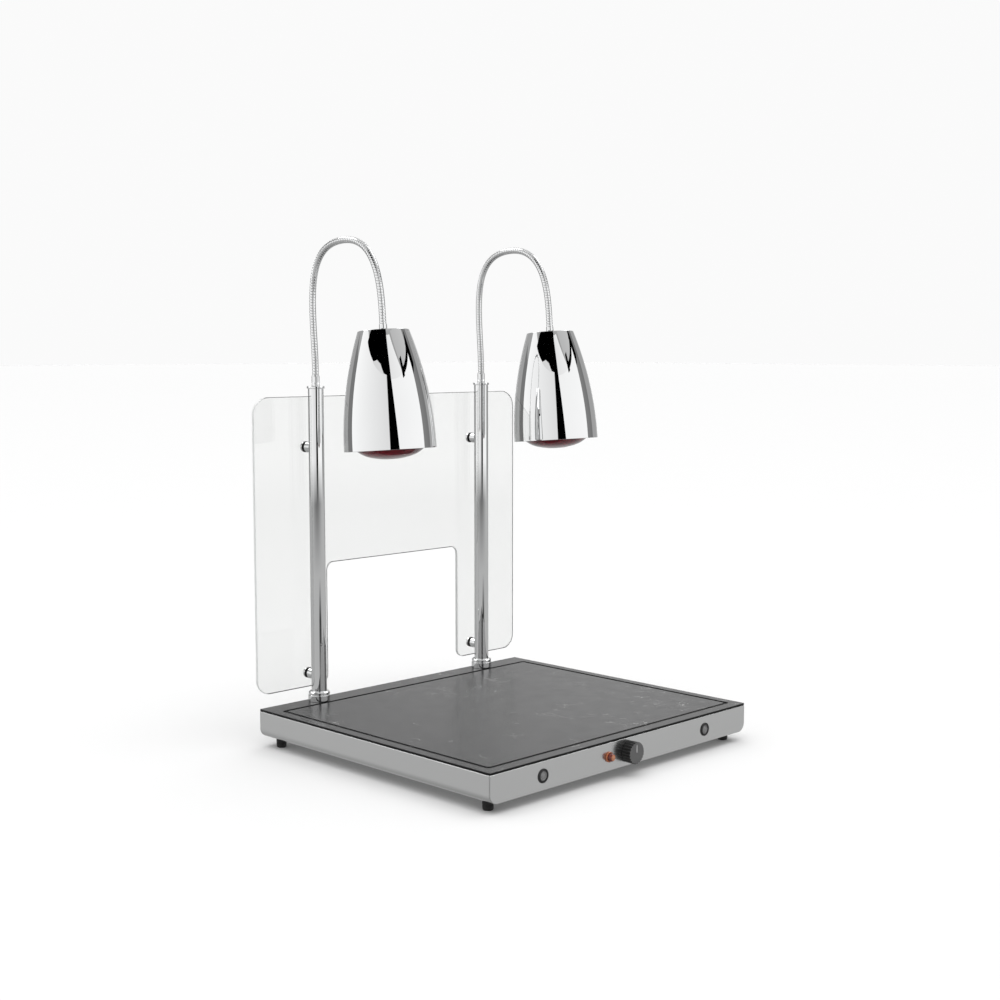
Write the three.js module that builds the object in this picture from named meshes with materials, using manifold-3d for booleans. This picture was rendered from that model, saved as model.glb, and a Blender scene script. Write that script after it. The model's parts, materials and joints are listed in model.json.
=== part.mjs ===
// Carving station with two heat lamps, in millimetres.
// +Z is up, the front panel faces -Y, and the origin is on the floor under the middle of the object.
import * as THREE from 'three';
import { mergeVertices } from 'three/addons/utils/BufferGeometryUtils.js';
import Module from 'manifold-3d';

// ---------- driving dimensions ----------
const GAP = 0.3;               // air between neighbouring solids
const BASE_W = 650;            // base and stone top, left to right
const BASE_D = 585;            // base and stone top, front to back
const HALF_W = BASE_W / 2;
const HALF_D = BASE_D / 2;
const BASE_BOTTOM = 17;        // underside of the steel base
const STEEL_TOP = 64;          // upper edge of the steel base
const STONE_TOP = 68;          // upper face of border and plate
const STONE_BOTTOM = STEEL_TOP + GAP;
const SHEET = 1.5;             // steel sheet of the base
const BEND_R = 16;             // outer radius of the base's lower corners

const GROOVE_X = 304.5;        // middle of the groove round the heated plate
const GROOVE_FRONT = -269;
const GROOVE_REAR = 248;
const GROOVE_W = 7;
const SEAL_TOP = STONE_TOP - 1.4;

const TRAY = { x: 290, front: -245, rear: 225, floor: 44, sheet: 1.2 };

const CONTROL_Z = 40.5;        // height of knob, buttons and pilot lamp
const PILOT_X = -50;
const KNOB_R = 18.7;
const KNOB_FRONT = -311;
const SPINDLE_R = 3;
const BUSH_R = 5;              // barrels that pass through the front panel's holes
const PILOT_R = 6.8;
const SWITCH_R = 9.2;
const BARREL_CLEARANCE = 0.4;
const BUTTON_R = 8;
const BUTTON_TRAVEL = 3;
const LENS_R = 6.6;
const INLET = { x: 120, halfW: 14, halfH: 10, depth: 28, mouthHalfW: 12.2, mouthHalfH: 8.2, mouthDepth: 14 };
const VENTS = { count: 5, pitch: 26, halfLength: 60, halfWidth: 3 };
const STUD_R = 3;              // studs of the feet, through the floor of the housing

const POST_X = 207.3;
const POST_Y = 271;
const POST_R = 14;
const POST_HOLE_R = 14.6;      // holes for the posts in border and tray
const POST_FOOT = 20;          // lower end of the post, inside the base
const POST_CAP_TOP = 642;
const POST_CAP_T = 4.3;

const NECK_R = 6;
const SOCKET_R = 6.8;          // hollow in the end of one neck length, round the ball of the next
const FERRULE_TOP = 661;
const SHANK_R = 4.6;           // threaded ends of the ferrules
const SHANK_BORE = 5.2;
const NECK_APEX = [183, 897];  // highest point of the neck's centre line, as [y, z]
const LOW_JOINT_AT = 0.2;      // place of the lowest bend along the rising stretch

const LAMP_TOP = [84, 739.3];  // middle of the shade's top, as [y, z]
const LAMP_TILT = THREE.MathUtils.degToRad(4.64);
const SHADE_H = 203;
const SHADE_TOP_R = 44;
const SHADE_RIM_R = 79;
const SHADE_T = 1.5;
const LAMPHOLDER_R = 21;
const BULB_CAP_R = 13.3;
const BULB_R = 62.5;
const BULB_BOTTOM = -219;      // lowest point of the bulb, from the shade's top
const LAMP_JOINT_UP = 36;      // height of the lamp's joint over the shade's top

const GUARD = { bottom: 90, top: 623, front: 297, thick: 6, notchX: 165, notchTop: 315.5 };
const SPACER_Z = [115.2, 531.5];
const SPACER_R = 10;
const SCREW_BACK = 311;        // rear end of the guard's screw heads

// ---------- finishes ----------
const FINISH = {
  steel: { color: 0xb4b6b6, roughness: 0.38, metalness: 1 },
  chrome: { color: 0xd8dadc, roughness: 0.06, metalness: 1 },
  stone: { color: 0x232325, roughness: 0.32, metalness: 0 },
  silicone: { color: 0x0c0c0d, roughness: 0.6, metalness: 0 },
  rubber: { color: 0x131314, roughness: 0.8, metalness: 0 },
  blackPlastic: { color: 0x1a1b1c, roughness: 0.42, metalness: 0 },
  greyPlastic: { color: 0x55585a, roughness: 0.45, metalness: 0 },
  amberPlastic: { color: 0xc4552a, roughness: 0.25, metalness: 0 },
  redGlass: { color: 0x8c0f14, roughness: 0.08, metalness: 0 },
  acrylic: { color: 0xf0f3f4, roughness: 0.03, metalness: 0, transparent: true, opacity: 0.2 },
  ceramic: { color: 0xe9e6de, roughness: 0.4, metalness: 0 },
  brass: { color: 0xb59247, roughness: 0.3, metalness: 1 },
  mica: { color: 0x8f8a80, roughness: 0.8, metalness: 0 },
  mineralBoard: { color: 0xd9d4c6, roughness: 0.95, metalness: 0 },
};

// ---------- helpers ----------
const wasm = await Module();
wasm.setup();

function toSolid(geometry) {
  const bare = geometry.index ? geometry.clone() : geometry;
  bare.deleteAttribute('normal');
  bare.deleteAttribute('uv');
  const merged = mergeVertices(bare, 1e-4);
  return new wasm.Manifold(new wasm.Mesh({
    numProp: 3,
    vertProperties: Float32Array.from(merged.attributes.position.array),
    triVerts: Uint32Array.from(merged.index.array),
  }));
}

function toGeometry(solid) {
  const mesh = solid.getMesh();
  const geometry = new THREE.BufferGeometry();
  geometry.setAttribute('position', new THREE.BufferAttribute(mesh.vertProperties, 3));
  geometry.setIndex(new THREE.BufferAttribute(mesh.triVerts, 1));
  geometry.computeVertexNormals();
  return geometry;
}

function cut(geometry, ...tools) {
  return toGeometry(tools.reduce((solid, tool) => solid.subtract(toSolid(tool)), toSolid(geometry)));
}

function join(geometry, ...others) {
  return toGeometry(others.reduce((solid, other) => solid.add(toSolid(other)), toSolid(geometry)));
}

// Box between two corners.
function box(low, high) {
  const size = high.map((value, i) => value - low[i]);
  const middle = high.map((value, i) => (value + low[i]) / 2);
  return new THREE.BoxGeometry(...size).translate(...middle);
}

// Solid of revolution about Z from [radius, z] points. A ring's profile comes back to its first point.
function lathe(points, segments = 20) {
  const outline = points.map(([r, z]) => new THREE.Vector2(r, z));
  const geometry = new THREE.LatheGeometry(outline, segments).rotateX(Math.PI / 2);
  const area = outline.reduce((sum, p, i) => {
    const q = outline[(i + 1) % outline.length];
    return sum + p.x * q.y - q.x * p.y;
  }, 0);
  if (area > 0) {
    return geometry;
  }
  const index = geometry.index.array;
  for (let i = 0; i < index.length; i += 3) {
    [index[i], index[i + 1]] = [index[i + 1], index[i]];
  }
  return geometry;
}

function ring(inner, outer, low, high, segments = 20) {
  return lathe([[inner, low], [outer, low], [outer, high], [inner, high], [inner, low]], segments);
}

function rod(radius, low, high, segments = 12) {
  return lathe([[0, low], [radius, low], [radius, high], [0, high]], segments);
}

// Turn a solid built along +Z so that its axis runs along +Y.
function alongY(geometry) {
  return geometry.rotateX(-Math.PI / 2);
}

// Closed outline through [x, y, cornerRadius] points, with right-angled corners rounded as arcs.
function roundedOutline(corners, PathClass = THREE.Shape) {
  const path = new PathClass();
  corners.forEach(([x, y, r], i) => {
    const here = new THREE.Vector2(x, y);
    const before = new THREE.Vector2(...corners.at(i - 1)).sub(here).normalize();
    const after = new THREE.Vector2(...corners[(i + 1) % corners.length]).sub(here).normalize();
    const start = here.clone().addScaledVector(before, r);
    const centre = start.clone().addScaledVector(after, r);
    if (i === 0) {
      path.moveTo(start.x, start.y);
    } else {
      path.lineTo(start.x, start.y);
    }
    if (r > 0) {
      const from = Math.atan2(-after.y, -after.x);
      const to = Math.atan2(-before.y, -before.x);
      path.absarc(centre.x, centre.y, r, from, to, after.cross(before) < 0);
    }
  });
  path.closePath();
  return path;
}

function rectangle(x0, y0, x1, y1, r, PathClass = THREE.Shape) {
  return roundedOutline([[x0, y0, r], [x1, y0, r], [x1, y1, r], [x0, y1, r]], PathClass);
}

function roundHole(x, y, r) {
  return new THREE.Path().absarc(x, y, r, 0, 2 * Math.PI, true);
}

// Plate lying flat, with the shape's x and y as X and Y.
function flatPlate(shape, low, high, curveSegments = 4) {
  const options = { depth: high - low, bevelEnabled: false, curveSegments };
  return new THREE.ExtrudeGeometry(shape, options).translate(0, 0, low);
}

// Upright plate, with the shape's x and y as X and Z.
function uprightPlate(shape, front, back, curveSegments = 5) {
  const options = { depth: back - front, bevelEnabled: false, curveSegments };
  return new THREE.ExtrudeGeometry(shape, options).rotateX(Math.PI / 2).translate(0, back, 0);
}

function node(name, geometry, finish) {
  const mesh = new THREE.Mesh(geometry, new THREE.MeshStandardMaterial(finish));
  mesh.name = name;
  return mesh;
}

// ---------- base ----------
function housingShell() {
  const inner = BEND_R - SHEET;
  const profile = new THREE.Shape();
  profile.moveTo(-HALF_W, STEEL_TOP);
  profile.absarc(-HALF_W + BEND_R, BASE_BOTTOM + BEND_R, BEND_R, Math.PI, 1.5 * Math.PI, false);
  profile.absarc(HALF_W - BEND_R, BASE_BOTTOM + BEND_R, BEND_R, -0.5 * Math.PI, 0, false);
  profile.lineTo(HALF_W, STEEL_TOP);
  profile.lineTo(HALF_W - SHEET, STEEL_TOP);
  profile.absarc(HALF_W - BEND_R, BASE_BOTTOM + BEND_R, inner, 0, -0.5 * Math.PI, true);
  profile.absarc(-HALF_W + BEND_R, BASE_BOTTOM + BEND_R, inner, 1.5 * Math.PI, Math.PI, true);
  profile.lineTo(-HALF_W + SHEET, STEEL_TOP);
  profile.closePath();
  const length = HALF_D - SHEET - GAP;
  const folded = uprightPlate(profile, -length, length, 3);
  const studHole = STUD_R + BARREL_CLEARANCE;
  const studHoles = FOOT_PLACES.map(([, x, y]) => rod(studHole, 0, STEEL_TOP / 2, 12).translate(x, y, 0));
  return cut(folded, ...studHoles, ...ventSlots());
}

function ventSlots() {
  const { count, pitch, halfLength, halfWidth } = VENTS;
  return Array.from({ length: count }, (_, i) => {
    const y = (i - (count - 1) / 2) * pitch;
    const slot = rectangle(-halfLength, y - halfWidth, halfLength, y + halfWidth, halfWidth - 0.1);
    return flatPlate(slot, 0, STEEL_TOP / 2, 2);
  });
}

function endPanelOutline() {
  return roundedOutline([
    [-HALF_W, BASE_BOTTOM, BEND_R], [HALF_W, BASE_BOTTOM, BEND_R],
    [HALF_W, STEEL_TOP, 0], [-HALF_W, STEEL_TOP, 0],
  ]);
}

function frontPanel() {
  const shape = endPanelOutline();
  for (const [x, barrel] of [[-POST_X, SWITCH_R], [POST_X, SWITCH_R], [0, BUSH_R], [PILOT_X, PILOT_R]]) {
    shape.holes.push(roundHole(x, CONTROL_Z, barrel + BARREL_CLEARANCE));
  }
  return uprightPlate(shape, -HALF_D, -HALF_D + SHEET, 8);
}

function rearPanel() {
  const shape = endPanelOutline();
  shape.holes.push(inletOutline(INLET.halfW + GAP, INLET.halfH + GAP, 2, THREE.Path));
  return uprightPlate(shape, HALF_D - SHEET, HALF_D);
}

function stoneBorder() {
  const half = GROOVE_W / 2;
  const shape = rectangle(-HALF_W, -HALF_D, HALF_W, HALF_D, 1.5);
  shape.holes.push(
    rectangle(-GROOVE_X - half, GROOVE_FRONT - half, GROOVE_X + half, GROOVE_REAR + half, 8, THREE.Path),
    roundHole(-POST_X, POST_Y, POST_HOLE_R), roundHole(POST_X, POST_Y, POST_HOLE_R),
  );
  return flatPlate(shape, STONE_BOTTOM, STONE_TOP, 8);
}

function heatedPlate() {
  const half = GROOVE_W / 2;
  const shape = rectangle(-GROOVE_X + half, GROOVE_FRONT + half, GROOVE_X - half, GROOVE_REAR - half, 4);
  return flatPlate(shape, STONE_BOTTOM, STONE_TOP, 4);
}

function jointSeal() {
  const half = GROOVE_W / 2 - GAP;
  const outline = (grow, r, PathClass) => rectangle(
    -GROOVE_X - grow, GROOVE_FRONT - grow, GROOVE_X + grow, GROOVE_REAR + grow, r, PathClass);
  const shape = outline(half, 7.7, THREE.Shape);
  shape.holes.push(outline(-half, 4.3, THREE.Path));
  return flatPlate(shape, STONE_BOTTOM, SEAL_TOP);
}

function supportTray() {
  const wall = TRAY.sheet;
  const flange = rectangle(-HALF_W + 2.5, -HALF_D + 2, HALF_W - 2.5, HALF_D - 2, 2);
  flange.holes.push(roundHole(-POST_X, POST_Y, POST_HOLE_R), roundHole(POST_X, POST_Y, POST_HOLE_R));
  const pan = box(
    [-TRAY.x - wall, TRAY.front - wall, TRAY.floor], [TRAY.x + wall, TRAY.rear + wall, STEEL_TOP - 0.1]);
  const hollow = box([-TRAY.x, TRAY.front, TRAY.floor + wall], [TRAY.x, TRAY.rear, STEEL_TOP + 1]);
  return cut(join(pan, flatPlate(flange, STEEL_TOP - wall, STEEL_TOP, 8)), hollow);
}

// Slab inside the tray, a margin clear of its walls.
function trayFilling(margin, low, high) {
  const shape = rectangle(
    -TRAY.x + margin, TRAY.front + margin, TRAY.x - margin, TRAY.rear - margin, 4);
  return flatPlate(shape, low, high, 3);
}

function foot() {
  return lathe([
    [0, 0], [8.2, 0], [9, 1], [9.4, 15.5], [8.4, BASE_BOTTOM - GAP],
    [STUD_R, BASE_BOTTOM - GAP], [STUD_R, BASE_BOTTOM + 6], [0, BASE_BOTTOM + 6],
  ], 14);
}

function terminalBlock() {
  const shape = new THREE.Shape();
  const poles = 3;
  const pitch = 14;
  const low = BASE_BOTTOM + SHEET + GAP;
  shape.moveTo(0, low);
  shape.lineTo(poles * pitch, low);
  for (let i = poles; i > 0; i -= 1) {
    shape.lineTo(i * pitch, low + 12);
    shape.lineTo(i * pitch - 2, low + 18);
    shape.lineTo((i - 1) * pitch + 2, low + 18);
    shape.lineTo((i - 1) * pitch, low + 12);
  }
  shape.closePath();
  return uprightPlate(shape, 240, 262);
}

// Rectangle about the inlet's axis, in the plane of the rear panel.
function inletOutline(halfW, halfH, r, PathClass = THREE.Shape) {
  return rectangle(INLET.x - halfW, CONTROL_Z - halfH, INLET.x + halfW, CONTROL_Z + halfH, r, PathClass);
}

function mainsInlet() {
  const flangeBack = HALF_D + GAP;
  const flange = inletOutline(25, 12.5, 4);
  const barrel = inletOutline(INLET.halfW, INLET.halfH, 2);
  const mouth = inletOutline(INLET.mouthHalfW, INLET.mouthHalfH, 3);
  const socketFloor = HALF_D - INLET.mouthDepth;
  const pins = [[-7, -2], [0, 2], [7, -2]].map(([x, z]) => box(
    [INLET.x + x - 1, socketFloor - 1, CONTROL_Z + z - 2], [INLET.x + x + 1, HALF_D - 4, CONTROL_Z + z + 2]));
  const shell = join(
    uprightPlate(flange, flangeBack, flangeBack + 3),
    uprightPlate(barrel, HALF_D - INLET.depth, flangeBack + 1),
  );
  return join(cut(shell, uprightPlate(mouth, socketFloor, HALF_D + 5)), ...pins);
}

const FOOT_PLACES = [
  ['foot_front_left', -300, -263], ['foot_front_right', 300, -263],
  ['foot_rear_left', -300, 263], ['foot_rear_right', 300, 263],
];

function makeBase() {
  const base = new THREE.Group();
  const insulationTop = STEEL_TOP - 3;
  base.add(
    node('housing_shell', housingShell(), FINISH.steel),
    node('front_panel', frontPanel(), FINISH.steel),
    node('rear_panel', rearPanel(), FINISH.steel),
    node('top_border', stoneBorder(), FINISH.stone),
    node('heated_plate', heatedPlate(), FINISH.stone),
    node('joint_seal', jointSeal(), FINISH.silicone),
    node('support_tray', supportTray(), FINISH.steel),
    node('insulation_board', trayFilling(0.6, TRAY.floor + 1.5, insulationTop), FINISH.mineralBoard),
    node('heater_mat', trayFilling(8, insulationTop + GAP, STEEL_TOP - 0.4), FINISH.mica),
    node('terminal_block', terminalBlock(), FINISH.greyPlastic),
    node('mains_inlet', mainsInlet(), FINISH.blackPlastic),
  );
  for (const [name, x, y] of FOOT_PLACES) {
    const mesh = node(name, foot(), FINISH.rubber);
    mesh.position.set(x, y, 0);
    base.add(mesh);
  }
  return base;
}

// ---------- controls ----------
// Everything here is built about an axis along Y, with y counted from the front panel's outer face.
function knob() {
  const flutes = 22;
  const outline = Array.from({ length: flutes * 2 }, (_, i) => {
    const angle = (i / (flutes * 2)) * 2 * Math.PI;
    const r = KNOB_R - 0.35 + 0.35 * Math.cos(flutes * angle);
    return new THREE.Vector2(r * Math.cos(angle), r * Math.sin(angle));
  });
  const front = KNOB_FRONT + HALF_D;
  const body = uprightPlate(new THREE.Shape(outline), front, -0.6);
  return cut(body, alongY(rod(SPINDLE_R + GAP, front + 4, 1, 16)));
}

function thermostatBody() {
  const bush = alongY(rod(BUSH_R, -GAP, 8, 20));
  return cut(join(box([-17, 5, -14], [17, 30, 14]), bush), alongY(rod(SPINDLE_R + GAP, -5, 14, 16)));
}

function switchBezel() {
  const bore = BUTTON_R + GAP;
  return alongY(lathe([
    [bore, -2.3], [10.9, -2.3], [11.65, -1.5], [11.65, -GAP], [SWITCH_R, -GAP],
    [SWITCH_R, 20], [bore, 20], [bore, -2.3],
  ], 16));
}

function switchButton() {
  const stem = 3;
  return alongY(lathe([
    [0, -1], [BUTTON_R - 0.6, -1], [BUTTON_R, -0.4], [BUTTON_R, 9], [stem, 9], [stem, 14], [0, 14],
  ], 16));
}

function switchBody() {
  const tags = [-4, 4].map((x) => box([x - 0.4, 33, -2.5], [x + 0.4, 42, 2.5]));
  return join(alongY(rod(SWITCH_R, 17.3 + BUTTON_TRAVEL, 34, 24)), ...tags);
}

function pilotBody() {
  return alongY(lathe([
    [0, 26], [PILOT_R, 26], [PILOT_R, -GAP], [9, -GAP], [9, -2.4], [8.2, -3.2], [7, -3.2], [7, -1], [0, -1],
  ].reverse(), 14));
}

function pilotLens() {
  const dome = Array.from({ length: 4 }, (_, i) => {
    const angle = (i / 3) * 0.5 * Math.PI;
    return [LENS_R * Math.cos(angle), -6.5 - 5.5 * Math.sin(angle)];
  });
  return alongY(lathe([[0, -1.3], [LENS_R, -1.3], ...dome], 12));
}

function makeControls() {
  const controls = new THREE.Group();
  const panel = (name, geometry, finish, x) => {
    const mesh = node(name, geometry, finish);
    mesh.position.set(x, -HALF_D, CONTROL_Z);
    controls.add(mesh);
  };
  panel('thermostat_knob', knob(), FINISH.blackPlastic, 0);
  panel('thermostat_spindle', alongY(rod(SPINDLE_R, KNOB_FRONT + HALF_D + 4.5, 12, 16)), FINISH.steel, 0);
  panel('thermostat_body', thermostatBody(), FINISH.greyPlastic, 0);
  panel('pilot_body', pilotBody(), FINISH.amberPlastic, PILOT_X);
  panel('pilot_lens', pilotLens(), FINISH.redGlass, PILOT_X);
  for (const [side, sign] of [['left', -1], ['right', 1]]) {
    panel(`${side}_switch_bezel`, switchBezel(), FINISH.blackPlastic, sign * POST_X);
    panel(`${side}_switch_button`, switchButton(), FINISH.greyPlastic, sign * POST_X);
    panel(`${side}_switch_body`, switchBody(), FINISH.blackPlastic, sign * POST_X);
  }
  return controls;
}

// ---------- posts ----------
function postCollar() {
  const inner = POST_R + GAP;
  const low = STONE_TOP + GAP;
  return lathe([
    [inner, low], [20, low], [20, low + 14.5], [16.8, low + 18], [inner, low + 18], [inner, low],
  ]);
}

function postCap() {
  const low = POST_CAP_TOP - POST_CAP_T;
  const bore = SHANK_R + BARREL_CLEARANCE;
  return lathe([
    [bore, low - 12], [12.2, low - 12], [12.2, low], [16, low], [16, POST_CAP_TOP - 0.8],
    [15.2, POST_CAP_TOP], [bore, POST_CAP_TOP], [bore, low - 12],
  ], 16);
}

function lowerFerrule() {
  const seat = POST_CAP_TOP + GAP;
  return lathe([
    [0, POST_CAP_TOP - 12], [SHANK_R, POST_CAP_TOP - 12], [SHANK_R, seat], [7.2, seat],
    [7.2, FERRULE_TOP - 3], [6.6, FERRULE_TOP], [0, FERRULE_TOP],
  ], 14);
}

// ---------- gooseneck ----------
// The neck's centre line lies in the plane x = 0 of its post: up and slightly back, over, and down.
const lampAxis = new THREE.Vector3(0, Math.sin(LAMP_TILT), Math.cos(LAMP_TILT));
const lampTop = new THREE.Vector3(0, ...LAMP_TOP);
const lampJoint = lampTop.clone().addScaledVector(lampAxis, LAMP_JOINT_UP);
const apex = new THREE.Vector3(0, ...NECK_APEX);
const rise = new THREE.CubicBezierCurve3(
  new THREE.Vector3(0, POST_Y, FERRULE_TOP + GAP),
  new THREE.Vector3(0, POST_Y - 0.5, 766),
  apex.clone().setY(apex.y + 129),
  apex,
);
const fall = new THREE.CubicBezierCurve3(
  apex,
  apex.clone().setY(apex.y - 74),
  lampJoint.clone().addScaledVector(lampAxis, 57),
  lampJoint,
);
const lowJoint = rise.getPoint(LOW_JOINT_AT);

class Stretch extends THREE.Curve {
  constructor(curve, from, to) {
    super();
    Object.assign(this, { curve, from, to });
  }

  getPoint(t, target = new THREE.Vector3()) {
    return this.curve.getPoint(this.from + (this.to - this.from) * t, target);
  }
}

function ball(radius, centre) {
  return new THREE.SphereGeometry(radius, 8, 6).translate(centre.x, centre.y, centre.z);
}

// A length of neck, with a ball on its lower joint and a socket cut round its upper joint.
function neckLength(curve, steps, ballAt, socketAt) {
  const section = new THREE.Shape().absarc(0, 0, NECK_R, 0, 2 * Math.PI, false);
  const tube = new THREE.ExtrudeGeometry(section, { extrudePath: curve, steps, curveSegments: 4 });
  const whole = ballAt ? join(tube, ball(NECK_R, ballAt)) : tube;
  return cut(whole, ball(SOCKET_R, socketAt));
}

// ---------- lamp ----------
// Built about Z with its shade's top at z = 0, then tilted and placed as one group.
function upperFerrule() {
  const ballEnd = Array.from({ length: 4 }, (_, i) => {
    const angle = (i / 3) * 0.5 * Math.PI;
    return [NECK_R * Math.cos(angle), LAMP_JOINT_UP + NECK_R * Math.sin(angle)];
  });
  return lathe([
    [0, -24], [SHANK_R, -24], [SHANK_R, GAP], [7.4, GAP], [7, 4], [6.8, 11], [NECK_R, 11.4], ...ballEnd,
  ], 14);
}

function shadeRadius(t) {
  return SHADE_RIM_R - (SHADE_RIM_R - SHADE_TOP_R) * (1 - t) ** 2;
}

function shade() {
  const steps = 5;
  const shoulder = 0.03;
  const wall = Array.from({ length: steps + 1 }, (_, i) => {
    const t = shoulder + (1 - shoulder) * (i / steps);
    return [shadeRadius(t), -SHADE_H * t];
  });
  const outside = [[40, 0], [43.2, -1.4], ...wall];
  const inside = [...wall].reverse().map(([r, z]) => [r - SHADE_T, z]);
  return lathe([
    [SHANK_BORE, 0], ...outside, ...inside, [40, -SHADE_T], [SHANK_BORE, -SHADE_T], [SHANK_BORE, 0],
  ], 32);
}

function lampholder() {
  const socket = BULB_CAP_R + 0.9;
  return lathe([
    [SHANK_BORE, -16], [LAMPHOLDER_R - 4, -16], [LAMPHOLDER_R, -20], [LAMPHOLDER_R, -60],
    [socket, -60], [socket, -34], [SHANK_BORE, -34], [SHANK_BORE, -16],
  ], 16);
}

function bulbCap() {
  return lathe([[0, -36], [5, -36], [9, -39], [BULB_CAP_R, -42], [BULB_CAP_R, -62], [0, -62]], 14);
}

function bulb() {
  const glass = 1.8;
  const steps = 9;
  const places = [
    [15, -62.3], [19, -76], [27, -100], [45, -138], [58, -168], [BULB_R, -189],
    [59, -201], [43, -212], [20, -217.8], [0, BULB_BOTTOM],
  ];
  const outside = new THREE.SplineCurve(places.map((place) => new THREE.Vector2(...place))).getPoints(steps);
  const inside = outside.map((p, i) => {
    const along = outside[Math.min(i + 1, steps)].clone().sub(outside[Math.max(i - 1, 0)]).normalize();
    return new THREE.Vector2(p.x + along.y * glass, p.y - along.x * glass);
  });
  inside[0].y = outside[0].y;
  inside[steps].set(0, BULB_BOTTOM + glass);
  outside[steps].x = 0;
  return lathe([...outside.reverse(), ...inside].map((p) => [p.x, p.y]), 24);
}

function makeLamp(side, x) {
  const lamp = new THREE.Group();
  lamp.add(
    node(`${side}_upper_ferrule`, upperFerrule(), FINISH.chrome),
    node(`${side}_shade`, shade(), FINISH.chrome),
    node(`${side}_lampholder`, lampholder(), FINISH.ceramic),
    node(`${side}_bulb_cap`, bulbCap(), FINISH.brass),
    node(`${side}_bulb`, bulb(), FINISH.redGlass),
  );
  lamp.position.set(x, lampTop.y, lampTop.z);
  lamp.rotation.x = -LAMP_TILT;
  return lamp;
}

function makeLampStand(side, x) {
  const stand = new THREE.Group();
  const onPost = (name, geometry) => {
    const mesh = node(`${side}_${name}`, geometry, FINISH.chrome);
    mesh.position.set(x, POST_Y, 0);
    stand.add(mesh);
  };
  onPost('post', ring(POST_R - 1.5, POST_R, POST_FOOT, POST_CAP_TOP - POST_CAP_T - GAP));
  onPost('post_collar', postCollar());
  onPost('post_cap', postCap());
  onPost('lower_ferrule', lowerFerrule());
  const lengths = [
    ['neck_lower', new Stretch(rise, 0, LOW_JOINT_AT), 2, null, lowJoint],
    ['neck_middle', new Stretch(rise, LOW_JOINT_AT, 1), 12, lowJoint, apex],
    ['neck_upper', fall, 12, apex, lampJoint],
  ];
  for (const [name, curve, steps, ballAt, socketAt] of lengths) {
    const mesh = node(`${side}_${name}`, neckLength(curve, steps, ballAt, socketAt), FINISH.chrome);
    mesh.position.x = x;
    stand.add(mesh);
  }
  stand.add(makeLamp(side, x));
  return stand;
}

// ---------- guard ----------
function guardPanel() {
  const { bottom, top, notchX, notchTop } = GUARD;
  const shape = roundedOutline([
    [-HALF_W, bottom, 27], [-notchX, bottom, 17], [-notchX, notchTop, 15], [notchX, notchTop, 15],
    [notchX, bottom, 17], [HALF_W, bottom, 27], [HALF_W, top, 32], [-HALF_W, top, 32],
  ]);
  for (const x of [-POST_X, POST_X]) {
    shape.holes.push(...SPACER_Z.map((z) => roundHole(x, z, 4.4)));
  }
  return uprightPlate(shape, GUARD.front, GUARD.front + GUARD.thick, 6);
}

// Distance tube between post and panel, hollowed where it sits on the round post.
function guardSpacer() {
  const tube = alongY(ring(4.3, SPACER_R, POST_Y + 8, GUARD.front - GAP, 16));
  const post = rod(POST_R + GAP, -2 * SPACER_R, 2 * SPACER_R, 48).translate(0, POST_Y, 0);
  return cut(tube, post);
}

function guardScrew() {
  const seat = GUARD.front + GUARD.thick + GAP;
  return alongY(lathe([
    [0, POST_Y + POST_R + 2], [4, POST_Y + POST_R + 2], [4, seat], [SPACER_R, seat],
    [SPACER_R, SCREW_BACK - 2], [SPACER_R - 2, SCREW_BACK], [0, SCREW_BACK],
  ], 16));
}

function makeGuard() {
  const guard = new THREE.Group();
  guard.add(node('guard_panel', guardPanel(), FINISH.acrylic));
  for (const [side, x] of [['left', -POST_X], ['right', POST_X]]) {
    SPACER_Z.forEach((z, i) => {
      const level = ['lower', 'upper'][i];
      const spacer = node(`${side}_${level}_guard_spacer`, guardSpacer(), FINISH.chrome);
      const screw = node(`${side}_${level}_guard_screw`, guardScrew(), FINISH.chrome);
      spacer.position.set(x, 0, z);
      screw.position.set(x, 0, z);
      guard.add(spacer, screw);
    });
  }
  return guard;
}

// ---------- whole object ----------
const carvingStation = new THREE.Group();
carvingStation.add(
  makeBase(),
  makeControls(),
  makeLampStand('left', -POST_X),
  makeLampStand('right', POST_X),
  makeGuard(),
);

export default carvingStation;
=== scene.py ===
"""Looks of a carving station with two heat lamps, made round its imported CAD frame.

+Z is up and the front panel faces -Y. Left and right are as seen by a user at the front.
Shapes are drawn in millimetres, and piece() brings them to the frame's metres.
"""
import bisect
import json
import math

import bmesh
import bpy
from mathutils import Matrix, Vector


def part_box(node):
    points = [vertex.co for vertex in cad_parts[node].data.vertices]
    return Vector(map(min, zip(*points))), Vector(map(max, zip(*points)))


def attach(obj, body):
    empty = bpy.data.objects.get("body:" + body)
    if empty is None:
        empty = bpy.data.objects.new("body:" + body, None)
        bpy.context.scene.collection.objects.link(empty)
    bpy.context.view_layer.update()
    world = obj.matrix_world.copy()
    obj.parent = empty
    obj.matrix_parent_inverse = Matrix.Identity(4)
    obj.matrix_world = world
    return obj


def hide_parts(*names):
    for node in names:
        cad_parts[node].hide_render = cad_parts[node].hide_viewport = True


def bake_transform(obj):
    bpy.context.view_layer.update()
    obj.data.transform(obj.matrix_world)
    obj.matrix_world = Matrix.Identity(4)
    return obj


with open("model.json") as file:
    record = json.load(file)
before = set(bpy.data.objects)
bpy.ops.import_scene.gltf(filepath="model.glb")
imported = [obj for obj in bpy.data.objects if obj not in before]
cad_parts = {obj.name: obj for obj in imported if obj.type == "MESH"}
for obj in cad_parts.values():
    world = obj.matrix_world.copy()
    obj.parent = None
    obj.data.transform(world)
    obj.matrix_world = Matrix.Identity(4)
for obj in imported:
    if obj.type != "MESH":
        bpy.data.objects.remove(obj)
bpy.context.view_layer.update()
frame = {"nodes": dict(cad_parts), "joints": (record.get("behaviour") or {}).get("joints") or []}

MM = 0.001
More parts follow.
